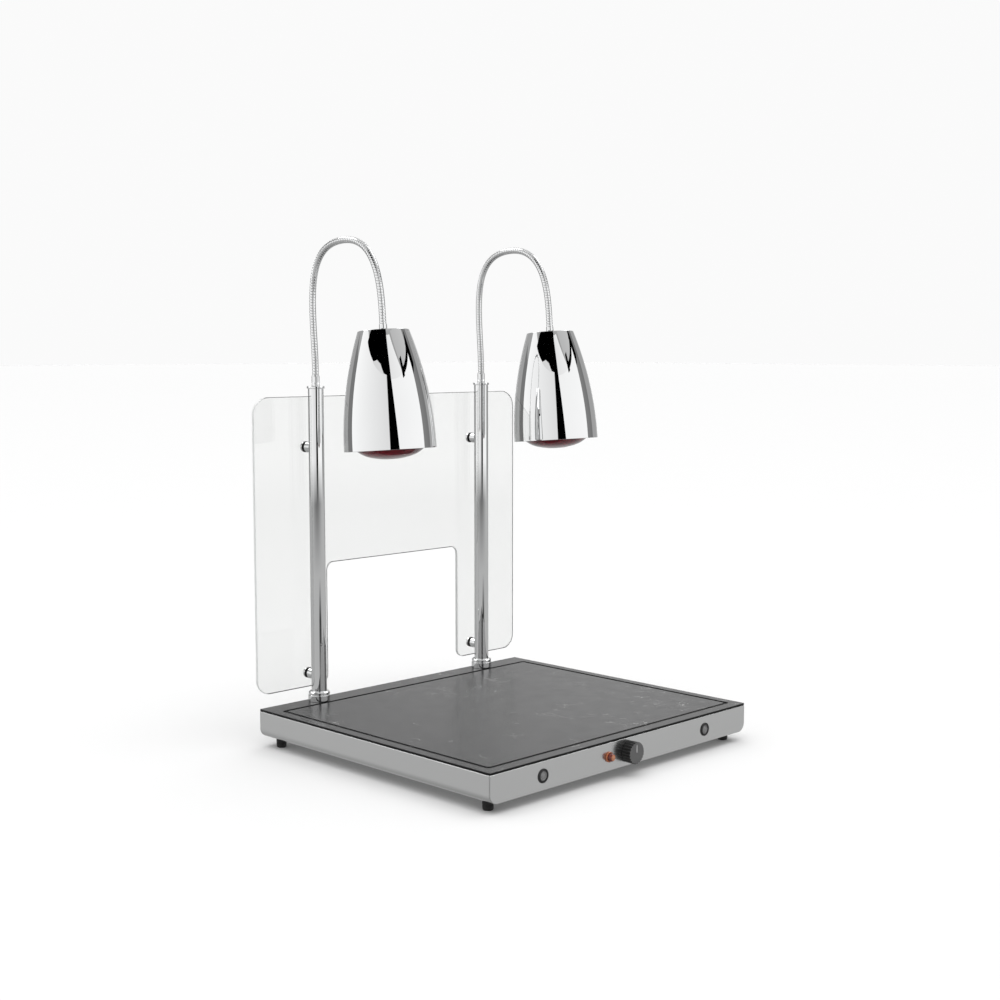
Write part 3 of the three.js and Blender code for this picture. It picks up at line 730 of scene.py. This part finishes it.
# ---------- controls ----------
def make_knob():
    radius = (KNOB_HIGH.x - KNOB_LOW.x) / 2
    length = PANEL_FACE - KNOB_LOW.y
    start = PANEL_FACE - KNOB_HIGH.y
    flutes = 22

    def fluted(angle, r):
        depth = 1.9 * max(0, r / radius - 0.84) / 0.16
        return r - depth * abs(math.sin(angle * flutes / 2)) ** 3

    body = spin([
        (0, start), (radius - 0.8, start, 0.3), (radius - 0.3, start + 1.5, 0.5), (radius, length - 1.1, 0.3),
        (radius - 0.5, length - 0.5, 0.2), (0, length - 0.5),
    ], flutes * 12, 4, fluted)
    place = (0, PANEL_FACE, CONTROL_Z)
    piece("fluted_knob", facing_front(body, *place), FINISH["knob"], "thermostat_dial", "thermostat_knob")
    rim = radius - 0.35
    face = spin([(0, length - 0.7), (rim, length - 0.7), (rim, length - 0.2, 0.2), (0, length - 0.2)],
                flutes * 12, 4, fluted)
    piece("knob_face", facing_front(face, *place), FINISH["knob_face"], "thermostat_dial")
    line = rectangle(-0.7, radius * 0.06, 0.7, radius * 0.74, 0.65, 5)
    pointer = plate(line, [], length - 0.4, length - 0.04, 0.1)
    piece("knob_pointer", facing_front(pointer, *place), FINISH["pointer"], "thermostat_dial")


def make_switches():
    bezel_r = (BEZEL_HIGH.x - BEZEL_LOW.x) / 2
    proud = PANEL_FACE - BEZEL_LOW.y
    for side, sign in SIDES:
        bezel = spin([
            (8.2, proud - 0.6, 0.2), (8.4, proud, 0.2), (8.9, proud, 0.4), (bezel_r, 1.1, 0.5),
            (bezel_r, GAP, 0.15), (9.2, GAP), (9.2, -20), (8.2, -20),
        ], 96, 4, closed=True)
        place = (sign * POST_X, PANEL_FACE, CONTROL_Z)
        ring = facing_front(bezel, *place)
        piece(f"{side}_bezel_ring", ring, FINISH["black"], "base", f"{side}_switch_bezel")
        button = spin([
            (0, -14), (3, -14), (3, -9), (7.9, -9), (7.9, 0.9, 0.6), (6.9, 0.95, 0.4), (6.3, -0.1, 0.4),
            (5.4, -0.2, 0.3), (4.2, 0.6, 2), (1.8, 1.0, 2), (0, 1.05),
        ], 96, 4)
        piece(f"{side}_push_button", facing_front(button, *place), FINISH["grey"], f"{side}_button",
              f"{side}_switch_button")


def make_pilot():
    flange_r = (PILOT_HIGH.x - PILOT_LOW.x) / 2
    lens_r = (LENS_HIGH.x - LENS_LOW.x) / 2
    lens_top = PANEL_FACE - LENS_LOW.y
    body = spin([
        (0, -26), (6.8, -26), (6.8, GAP), (flange_r, GAP, 0.2), (flange_r, 2.4, 0.5), (8.2, 3.2, 0.4),
        (7, 3.2, 0.3), (6.9, 1), (0, 1),
    ], 72, 4)
    place = (PILOT_X, PANEL_FACE, CONTROL_Z)
    piece("pilot_bezel", facing_front(body, *place), FINISH["amber"], "base", "pilot_body")
    dome_h, steps = 5.5, 12
    straight = lens_top - dome_h
    angles = [k / steps * math.pi / 2 for k in range(steps)]
    dome = [(lens_r * math.cos(a), straight + dome_h * math.sin(a)) for a in angles]
    lens = spin([(0, 1.3), (lens_r, 1.3, 0.2), *dome, (0, lens_top)], 72, 3)
    piece("pilot_cap", facing_front(lens, *place), FINISH["lens"], "base", "pilot_lens")


# ---------- posts ----------
def make_post(side, x):
    at_post = Matrix.Translation((x, POST_Y, 0))
    tube = spin([
        (POST_R - 1.5, POST_LOW.z), (POST_R, POST_LOW.z, 0.4), (POST_R, POST_HIGH.z, 0.3),
        (POST_R - 1.5, POST_HIGH.z),
    ], 96, 3, closed=True)
    piece(f"{side}_post_tube", moved(tube, at_post), FINISH["chrome"], "base", f"{side}_post")
    collar_r = (COLLAR_HIGH.x - COLLAR_LOW.x) / 2
    low, top = COLLAR_LOW.z, COLLAR_HIGH.z
    bore = POST_R + GAP
    tall = top - low
    collar = spin([
        (bore, low), (collar_r, low, 0.3), (collar_r, low + tall * 0.6, 0.35),
        (collar_r - 1.3, low + tall * 0.64, 0.2), (collar_r - 1.3, low + tall * 0.72, 0.2),
        (collar_r - 0.7, low + tall * 0.76, 0.25),
        (collar_r - 0.7, top - 1.6, 0.4), (collar_r - 2.6, top, 0.4), (bore, top, 0.3),
    ], 96, 4, closed=True)
    piece(f"{side}_collar", moved(collar, at_post), FINISH["chrome"], "base", f"{side}_post_collar")
    cap_r = (CAP_HIGH.x - CAP_LOW.x) / 2
    seat = POST_HIGH.z + GAP
    cap = spin([
        (5, CAP_LOW.z), (12.2, CAP_LOW.z, 0.5), (12.2, seat), (cap_r, seat, 0.6),
        (cap_r, CAP_HIGH.z - 0.3, 1.0), (cap_r - 1.6, CAP_HIGH.z, 0.5), (5, CAP_HIGH.z, 0.2),
    ], 96, 4, closed=True)
    piece(f"{side}_cap", moved(cap, at_post), FINISH["chrome"], "base", f"{side}_post_cap")
    top = FERRULE_HIGH.z
    foot = CAP_HIGH.z + GAP
    ferrule = spin([
        (0, foot - 12), (4.6, foot - 12), (4.6, foot), (7.2, foot, 0.3), (7.2, foot + 3.4, 0.4),
        (6.7, foot + 3.9, 0.3), (6.7, foot + 5.1, 0.3), (7.2, foot + 5.6, 0.4), (7.2, top - 1.6, 0.8),
        (6.7, top, 0.3), (6.25, top, 0.15), (6.25, top - 11), (0, top - 11),
    ], 64, 4)
    piece(f"{side}_swivel_ferrule", moved(ferrule, at_post), FINISH["chrome"], f"{side}_arm_lower",
          f"{side}_lower_ferrule")


# ---------- gooseneck ----------
class CentreLine:
    """The neck's centre line in the plane of its post, as [y, z] by distance along it."""

    def __init__(self, low, apex, lamp, end):
        axis = Vector((math.sin(LAMP_TILT), math.cos(LAMP_TILT)))
        start = Vector((POST_Y, FERRULE_HIGH.z + GAP))
        rise = (start, Vector((POST_Y - 0.5, 766)), apex + Vector((129, 0)), apex)
        fall = (apex, apex - Vector((74, 0)), lamp + axis * 57, lamp)
        foot = start - Vector((0, 10))
        points = [foot, *self.bezier(rise), *self.bezier(fall)[1:], lamp - axis * end]
        self.points = points
        self.lengths = [0]
        for before, after in zip(points, points[1:]):
            self.lengths.append(self.lengths[-1] + (after - before).length)
        self.low, self.apex, self.lamp = (self.nearest(p) for p in (low, apex, lamp))

    @staticmethod
    def bezier(controls, steps=240):
        a, b, c, d = controls
        pairs = [(k / steps, 1 - k / steps) for k in range(steps + 1)]
        return [a * u ** 3 + b * 3 * u ** 2 * t + c * 3 * u * t * t + d * t ** 3 for t, u in pairs]

    def nearest(self, point):
        return min(zip(self.points, self.lengths), key=lambda pair: (pair[0] - point).length)[1]

    def at(self, distance):
        """Point and direction at that distance, straight on past either end."""
        i = min(max(bisect.bisect(self.lengths, distance), 1), len(self.points) - 1)
        before, after = self.points[i - 1], self.points[i]
        along = (after - before).normalized()
        return before + along * (distance - self.lengths[i - 1]), along


# One turn of the wound tube: (share of the pitch, radius less the outer radius).
BEAD = (
    (0, -0.8), (0.06, -0.45), (0.1, -0.12), (0.14, -0.02), (0.2, 0),
    (0.8, 0), (0.86, -0.02), (0.9, -0.12), (0.94, -0.45),
)


def wound_tube(line, x, first, last, segments=32):
    """Helically wound tube between two whole turns of the centre line."""
    bm = bmesh.new()
    rows = []
    for turn in range(first, last + 1):
        for share, step in BEAD if turn < last else BEAD[:1]:
            row = []
            for k in range(segments + 1):
                angle = 2 * math.pi * k / segments
                centre, along = line.at((turn + share + k / segments) * NECK_PITCH)
                r = NECK_R + step
                across = Vector((-along.y, along.x)) * (r * math.sin(angle))
                row.append(bm.verts.new((x + r * math.cos(angle), centre.x + across.x, centre.y + across.y)))
            rows.append(row)
    skin(bm, rows, around=False)
    bmesh.ops.remove_doubles(bm, verts=bm.verts, dist=0.001)
    return bm


def make_neck(side, x):
    low = Vector(JOINTS[f"{side}_low_bend"][1:])
    apex = Vector(JOINTS[f"{side}_crook_bend"][1:])
    lamp = Vector(JOINTS[f"{side}_lamp_tilt"][1:])
    line = CentreLine(low, apex, lamp, LAMP_JOINT_UP - 3)
    turns = int(line.lengths[-1] / NECK_PITCH) - 1
    low_split = round((line.low + line.apex) / 2 / NECK_PITCH)
    high_split = round((line.apex + line.lamp) / 2 / NECK_PITCH)
    # (name, node, first and last turn, bodies before and after the joint, the joint's place, bend's reach)
    lengths = (
        ("gooseneck_foot", "neck_lower", 0, low_split, "arm_lower", "arm_middle", line.low, 28),
        ("gooseneck_crook", "neck_middle", low_split, high_split, "arm_middle", "arm_upper", line.apex, 70),
        ("gooseneck_end", "neck_upper", high_split, turns, "arm_upper", "lamp", line.lamp, 20),
    )
    for name, node, first, last, body, next_body, place, reach in lengths:
        material, slot = FINISH["chrome"]
        tube = to_object(f"{side}_{name}", wound_tube(line, x, first, last), material)
        centre, along = line.at(place)
        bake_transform(tube)
        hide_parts(f"{side}_{node}")


# ---------- lamp ----------
def shade_radius(t):
    return SHADE_RIM_R - (SHADE_RIM_R - SHADE_TOP_R) * (1 - t) ** 2


def shade_solid():
    steps = 44
    wall = [(shade_radius(t), -SHADE_H * t) for t in (k / steps for k in range(steps + 1))]
    outside = [(*wall[0], 0.7), *wall[1:-1], (*wall[-1], 0.5)]
    inside = [(r - SHADE_T, z) for r, z in wall[:0:-1]]
    inside[0] = (*inside[0], 0.5)
    corner = (wall[0][0] - SHADE_T - 0.3, -SHADE_T, 0.6)
    return spin([(5.2, 0, 0.2), *outside, *inside, corner, (5.2, -SHADE_T)], 160, 4, closed=True)


def bulb_solid():
    """Reflector bulb: a straight cone that widens from the neck, a round shoulder and a shallow dome."""
    places = [Vector(p) for p in (
        (15, -62.3), (19, -76), (27, -100), (45, -138), (58, -168), (62.5, -189), (59, -201), (43, -212),
        (20, -217.8), (0, -219),
    )]
    # A Catmull-Rom curve through the places, which goes on past both ends.
    ends = [places[0] * 2 - places[1], *places, Vector((-20, -217.8))]
    outline = []
    steps = 8
    for a, b, c, d in zip(ends, ends[1:], ends[2:], ends[3:]):
        for k in range(steps):
            t = k / steps
            outline.append((b * 2 + (c - a) * t + (a * 2 - b * 5 + c * 4 - d) * t * t
                            + (b * 3 - a - c * 3 + d) * t ** 3) / 2)
    return spin([(0, -62.3), *((p.x, p.y) for p in outline), (0, -219)], 128)


def make_lamp(side):
    tilt = Matrix.Rotation(-LAMP_TILT, 4, "X")
    joint = JOINTS[f"{side}_lamp_tilt"]
    place = Matrix.Translation(joint - tilt @ Vector((0, 0, LAMP_JOINT_UP))) @ tilt
    body = f"{side}_lamp"

    def hang(name, solid, finish, node):
        piece(f"{side}_{name}", moved(solid, place), FINISH[finish], body, f"{side}_{node}")

    hang("lamp_ferrule", spin([
        (0, -24), (4.6, -24), (4.6, GAP), (7.6, GAP, 0.3), (7.6, 1.6, 0.5), (7.0, 3.6, 1.2), (6.75, 11, 0.35),
        (6.25, 11, 0.15), (6.25, 1.4), (0, 1.4),
    ], 64, 4), "chrome", "upper_ferrule")
    hang("spun_shade", shade_solid(), "chrome", "shade")
    hang("holder", spin([
        (5.2, -16, 0.3), (17, -16, 2), (21, -20, 1), (21, -34, 0.5), (20.2, -35, 0.3), (20.2, -36.5, 0.3),
        (21, -37.5, 0.5), (21, -60, 0.8), (14.2, -60, 0.5), (14.2, -34), (5.2, -34),
    ], 72, 4, closed=True), "ceramic", "lampholder")
    threads = [(13.3 - 0.45 * (1 - math.cos(k * math.pi / 3)), -43 - k * 0.58) for k in range(31)]
    hang("thread_cap", spin([
        (0, -36), (5, -36, 0.6), (9, -39, 0.6), (12.6, -42, 0.3), *threads, (13, -62), (0, -62),
    ], 64, 3), "brass", "bulb_cap")
    hang("reflector_bulb", bulb_solid(), "ruby", "bulb")


# ---------- guard ----------
def make_guard():
    low, high = GUARD_LOW, GUARD_HIGH
    outline = rounded([
        (-HALF_W, low.z, 27), (-NOTCH_X, low.z, 17), (-NOTCH_X, NOTCH_TOP, 15), (NOTCH_X, NOTCH_TOP, 15),
        (NOTCH_X, low.z, 17), (HALF_W, low.z, 27), (HALF_W, high.z, 32), (-HALF_W, high.z, 32),
    ], 14)
    names = [f"{side}_{level}" for side, _ in SIDES for level in ("lower", "upper")]
    centres = [sum(box(f"{name}_guard_spacer"), Vector()) / 2 for name in names]
    holes = [circle(c.x, c.z, 4.4) for c in centres]
    sheet = plate(outline, holes, low.y, high.y, 0.9, upright)
    guard = piece("clear_guard", sheet, FINISH["clear"], "base", "guard_panel")

    def cut(face):
        """The sides of the sheet, with the rounded edges too where they lie level."""
        sideways, forwards = abs(face.normal.x), abs(face.normal.y)
        return forwards < (0.5 if sideways > 0.2 else 0.97)

    # The sheet's sides get painted light and shade: pale where they stand upright, dark where they lie level.
    paint_faces(guard, edge_painted_lit_and_shaded(), cut)
    for name, centre in zip(names, centres):
        make_standoff(name, centre)


def make_standoff(name, centre):
    radius = 10
    washer = 1.5
    front, back = GUARD_LOW.y, GUARD_HIGH.y
    saddle = POST_R + GAP
    end = front - GAP - washer

    def ring(r, y_of):
        return [(centre.x + p.x, y_of(p.x), centre.z + p.y) for p in circle(0, 0, r, 64)]

    def on_post(x):
        return POST_Y + math.sqrt(saddle ** 2 - x * x)

    bm = bmesh.new()
    rings = [ring(4.3, on_post), ring(radius, on_post)]
    rounding = ((0, 0.6), (0.2, 0.15), (0.6, 0), (radius - 4.3, 0))
    rings += [ring(radius - step, lambda _, y=end - rise: y) for step, rise in rounding]
    skin(bm, [[bm.verts.new(p) for p in points] for points in rings], closed=True)
    piece(f"{name}_spacer", bm, FINISH["chrome"], "base", f"{name}_guard_spacer")
    hole, rim = 4.6, radius - 0.2
    washers = []
    for low in (-washer - 0.15, back - front + 0.05):
        high = low + washer
        corners = [(hole, low, 0.2), (rim, low, 0.4), (rim, high, 0.4), (hole, high, 0.2)]
        washers.append(facing_back(spin(corners, 64, 3, closed=True), centre.x, front, centre.z))
    piece(f"{name}_washers", joined(washers), FINISH["rubber"], "base")
    seat = back - front + washer + 0.1
    top = box(f"{name}_guard_screw")[1].y - front
    tip = POST_Y + POST_R + 2 - front
    socket = 3.4
    screw = spin([
        (0, tip), (4, tip), (4, seat), (radius, seat, 0.4), (radius, top - 2.6, 2.2),
        (radius - 3.6, top, 1.6), (socket, top, 0.15), (socket, top - 2.6), (0, top - 2.8),
    ], 96, 5, hexagon(socket))
    piece(f"{name}_cap_screw", facing_back(screw, centre.x, front, centre.z), FINISH["chrome"], "base",
          f"{name}_guard_screw")


# ---------- studio ----------
FAR = 30                                    # distance of what the metal reflects, in metres
GROUND = 0.47                               # brightness of the ground in reflections
HORIZON = -8                                # elevation at which panels that stand on the ground begin
FADING = (-5, -3.2, -2.6)                   # elevations between which such a panel comes out of the ground
BACKDROP = 0.958                            # brightness of the wall behind the object
LIGHT_LOW, LIGHT_OVERHEAD = 0.07, 2.45      # brightness of the sky at the horizon and overhead

# What polished metal reflects: (name, azimuths of its sides at the foot, azimuths of its sides at the top,
# elevations of foot and top, brightness at the left and right side), each nearer than the one before.
# Azimuth 0 is at the front, 90 at the right.
PANELS = (
    ("white_left", (-148, -41.5), (-148, -41.5), (HORIZON, 33), (1.06, 0.8)),
    ("black_overhead", (-115, -28), (-92, -32), (31, 50), (0.0, 0.0)),
    ("black_high", (-92, -32), (-70, -40), (50, 78), (0.0, 0.0)),
    ("white_arch", (-88, -48), (-72, -60), (30.5, 33.5), (0.75, 0.75)),
    ("black_strip", (-41.5, -14), (-40.5, -28), (HORIZON, 32), (0.0, 0.0)),
    ("white_right", (-14, 53), (-27.5, 53), (HORIZON, 30), (0.98, 1.04)),
    ("white_wedge", (-27.5, 14), (-32, -16), (30, 45), (0.86, 0.95)),
    ("grey_above_rail", (14, 62), (-10, 62), (31, 46), (0.52, 0.62)),
    ("grey_right", (53, 77), (53, 77), (HORIZON, 48), (0.24, 0.19)),
    ("rail", (13, 60), (13, 60), (29.2, 31.4), (0.0, 0.0)),
    ("black_spot_near", (12, 20), (10, 18), (28.5, 35), (0.0, 0.0)),
    ("black_spot_far", (54, 66), (50, 64), (23, 32), (0.0, 0.0)),
    ("pale_back_right", (108, 130), (108, 130), (HORIZON, 34), (0.42, 0.8)),
    ("pale_back", (130, 160), (130, 160), (HORIZON, 34), (0.8, 0.42)),
    ("dark_back_left", (192, 212), (192, 212), (HORIZON, 18), (0.2, 0.2)),
    ("dark_ground", (-42, 20), (-24, 2), (-22, HORIZON), (0.06, 0.06)),
    ("strip_light_right", (60, 105), (60, 105), (36, 60), (3.5, 3.5)),
    ("strip_light_back", (165, 212), (165, 212), (36, 60), (3.5, 3.5)),
)


def reflected_glow():
    """Emission of each vertex's brightness, which only shows in gloss."""
    glow = Finish("reflected")
    glow.tree.nodes.remove(glow.shader)
    brightness = glow.node("Attribute", {"attribute_name": "brightness"}).outputs["Fac"]
    light = glow.node("Emission", Color=(1, 1, 1, 1), Strength=brightness).outputs[0]
    return glow.unless_reflected(glow.node("BsdfTransparent").outputs[0], light)


def only_in_reflections(name, bm, material):
    """A stage object that casts no shadow or matt light. Its vertices carry their brightness."""
    obj = new_object(name, bm, material)
    for ray in ("camera", "diffuse", "shadow", "volume_scatter"):
        setattr(obj, f"visible_{ray}", False)


def heading(azimuth, elevation):
    a, e = math.radians(azimuth), math.radians(elevation)
    return Vector((math.sin(a) * math.cos(e), -math.cos(a) * math.cos(e), math.sin(e)))


def blend_of(first, second, share):
    return first + (second - first) * share


def far_ground(azimuth):
    """Brightness of the ground far away, which is darkest in front of the object's left side."""
    return GROUND - 0.3 * max(0, math.cos(math.radians(azimuth + 40))) ** 2


def make_panel(name, foot, top, rise, brightness, distance, material):
    """Patch of a sphere between its foot and its top. Over the ground its foot fades away."""
    low, high = rise
    across, up = 24, 8
    levels = [blend_of(low, high, j / up) for j in range(up + 1)]
    if low == HORIZON:
        levels[1:1] = FADING
    bm = bmesh.new()
    layer = bm.verts.layers.float.new("brightness")
    rows = []
    for level in levels:
        left, right = (blend_of(a, b, (level - low) / (high - low)) for a, b in zip(foot, top))
        row = []
        for i in range(across + 1):
            azimuth = blend_of(left, right, i / across)
            vert = bm.verts.new(heading(azimuth, level) * distance)
            vert[layer] = blend_of(*brightness, i / across)
            if level == HORIZON:
                vert[layer] = GROUND
            elif level == FADING[0]:
                vert[layer] = far_ground(azimuth)
            row.append(vert)
        rows.append(row)
    skin(bm, rows, around=False)
    only_in_reflections(name, bm, material)


def make_surroundings():
    """Grey dome and ground, with white, grey and black panels in front of them."""
    material = reflected_glow()
    bm = bmesh.new()
    bmesh.ops.create_uvsphere(bm, u_segments=64, v_segments=90, radius=FAR + 2)
    layer = bm.verts.layers.float.new("brightness")
    # (elevation, brightness) from straight below to straight above
    stops = (
        (-90, 0.1), (-50, 0.28), (-25, 0.44), (HORIZON, GROUND), (-3, 0.38), (45, 0.38), (50, 0.55),
        (90, 0.6),
    )
    for vert in bm.verts:
        elevation = math.degrees(math.asin(vert.co.normalized().z))
        for (low, dark), (high, light) in zip(stops, stops[1:]):
            if low <= elevation <= high:
                vert[layer] = blend_of(dark, light, (elevation - low) / (high - low))
    only_in_reflections("dome", bm, material)
    for i, (name, foot, top, rise, brightness) in enumerate(PANELS):
        make_panel(name, foot, top, rise, brightness, FAR - i * 0.1, material)


def make_floor():
    """Pale paper with a painted pool of light, so a little dimmer far away. In reflections the dome's ground
    takes its place.
    """
    bpy.ops.mesh.primitive_plane_add(size=120)
    floor = bpy.context.object
    floor.name = "floor"
    paper = Finish("floor_paper", Roughness=1.0, Specular_IOR_Level=0)
    distance = paper.node("VectorMath", {"operation": "LENGTH"}, i0=paper.place).outputs["Value"]
    far_tone, gain, spread = 0.758, 0.17, 2.7
    # Painted pool of light: the paper's tone rises towards the middle of the floor.
    painted_light_pool = paper.maths("DIVIDE", gain, paper.maths("ADD", distance, spread))
    pulp = paper.maths("MULTIPLY", paper.noise(3, 3), 0.006)
    paper.set("Base Color", paper.maths("ADD", paper.maths("ADD", painted_light_pool, far_tone), pulp))
    hidden = paper.node("BsdfTransparent").outputs[0]
    floor.data.materials.append(paper.unless_reflected(paper.shader.outputs[0], hidden))
    floor.visible_glossy = False


def make_light():
    """Soft white light from above on matt surfaces, in front of an even pale backdrop."""
    scene = bpy.context.scene
    scene.view_settings.view_transform = "Standard"
    scene.view_settings.look = "None"
    world = bpy.data.worlds.new("soft_white")
    world.use_nodes = True
    scene.world = world
    tree = world.node_tree
    white = (1, 1, 1, 1)
    direction = add_node(tree, "TexCoord").outputs["Generated"]
    height = add_node(tree, "SeparateXYZ", i0=direction).outputs[2]
    rising = add_node(tree, "Math", {"operation": "MULTIPLY"}, i0=height, i1=height).outputs[0]
    limits = {"To Min": LIGHT_LOW, "To Max": LIGHT_OVERHEAD}
    strength = add_node(tree, "MapRange", Value=rising, **limits).outputs[0]
    light = add_node(tree, "Background", Color=white, Strength=strength).outputs[0]
    backdrop = tree.nodes["Background"]
    backdrop.inputs["Color"].default_value = white
    backdrop.inputs["Strength"].default_value = BACKDROP
    matt = add_node(tree, "LightPath").outputs["Is Diffuse Ray"]
    mixed = add_node(tree, "MixShader", i0=matt, i1=backdrop.outputs[0], i2=light).outputs[0]
    tree.links.new(mixed, tree.nodes["World Output"].inputs[0])


def make_camera():
    """Camera at the photo's place, as solved from the corners of the base and the guard."""
    data = bpy.data.cameras.new("camera")
    data.lens = 54.469
    data.sensor_width = 36
    data.clip_end = 200
    camera = bpy.data.objects.new("camera", data)
    camera.location = (-1.89836, -1.88704, 0.70774)
    camera.rotation_euler = (math.radians(90 - 5.69), 0, math.radians(-45.01))
    bpy.context.scene.collection.objects.link(camera)
    bpy.context.scene.camera = camera


make_camera()
make_housing()
make_end_panels()
make_stone()
make_feet()
make_inlet()
finish_inner_parts()
make_knob()
make_switches()
make_pilot()
for lamp_side, lamp_sign in SIDES:
    make_post(lamp_side, lamp_sign * POST_X)
    make_neck(lamp_side, lamp_sign * POST_X)
    make_lamp(lamp_side)
make_guard()
make_floor()
make_light()
make_surroundings()
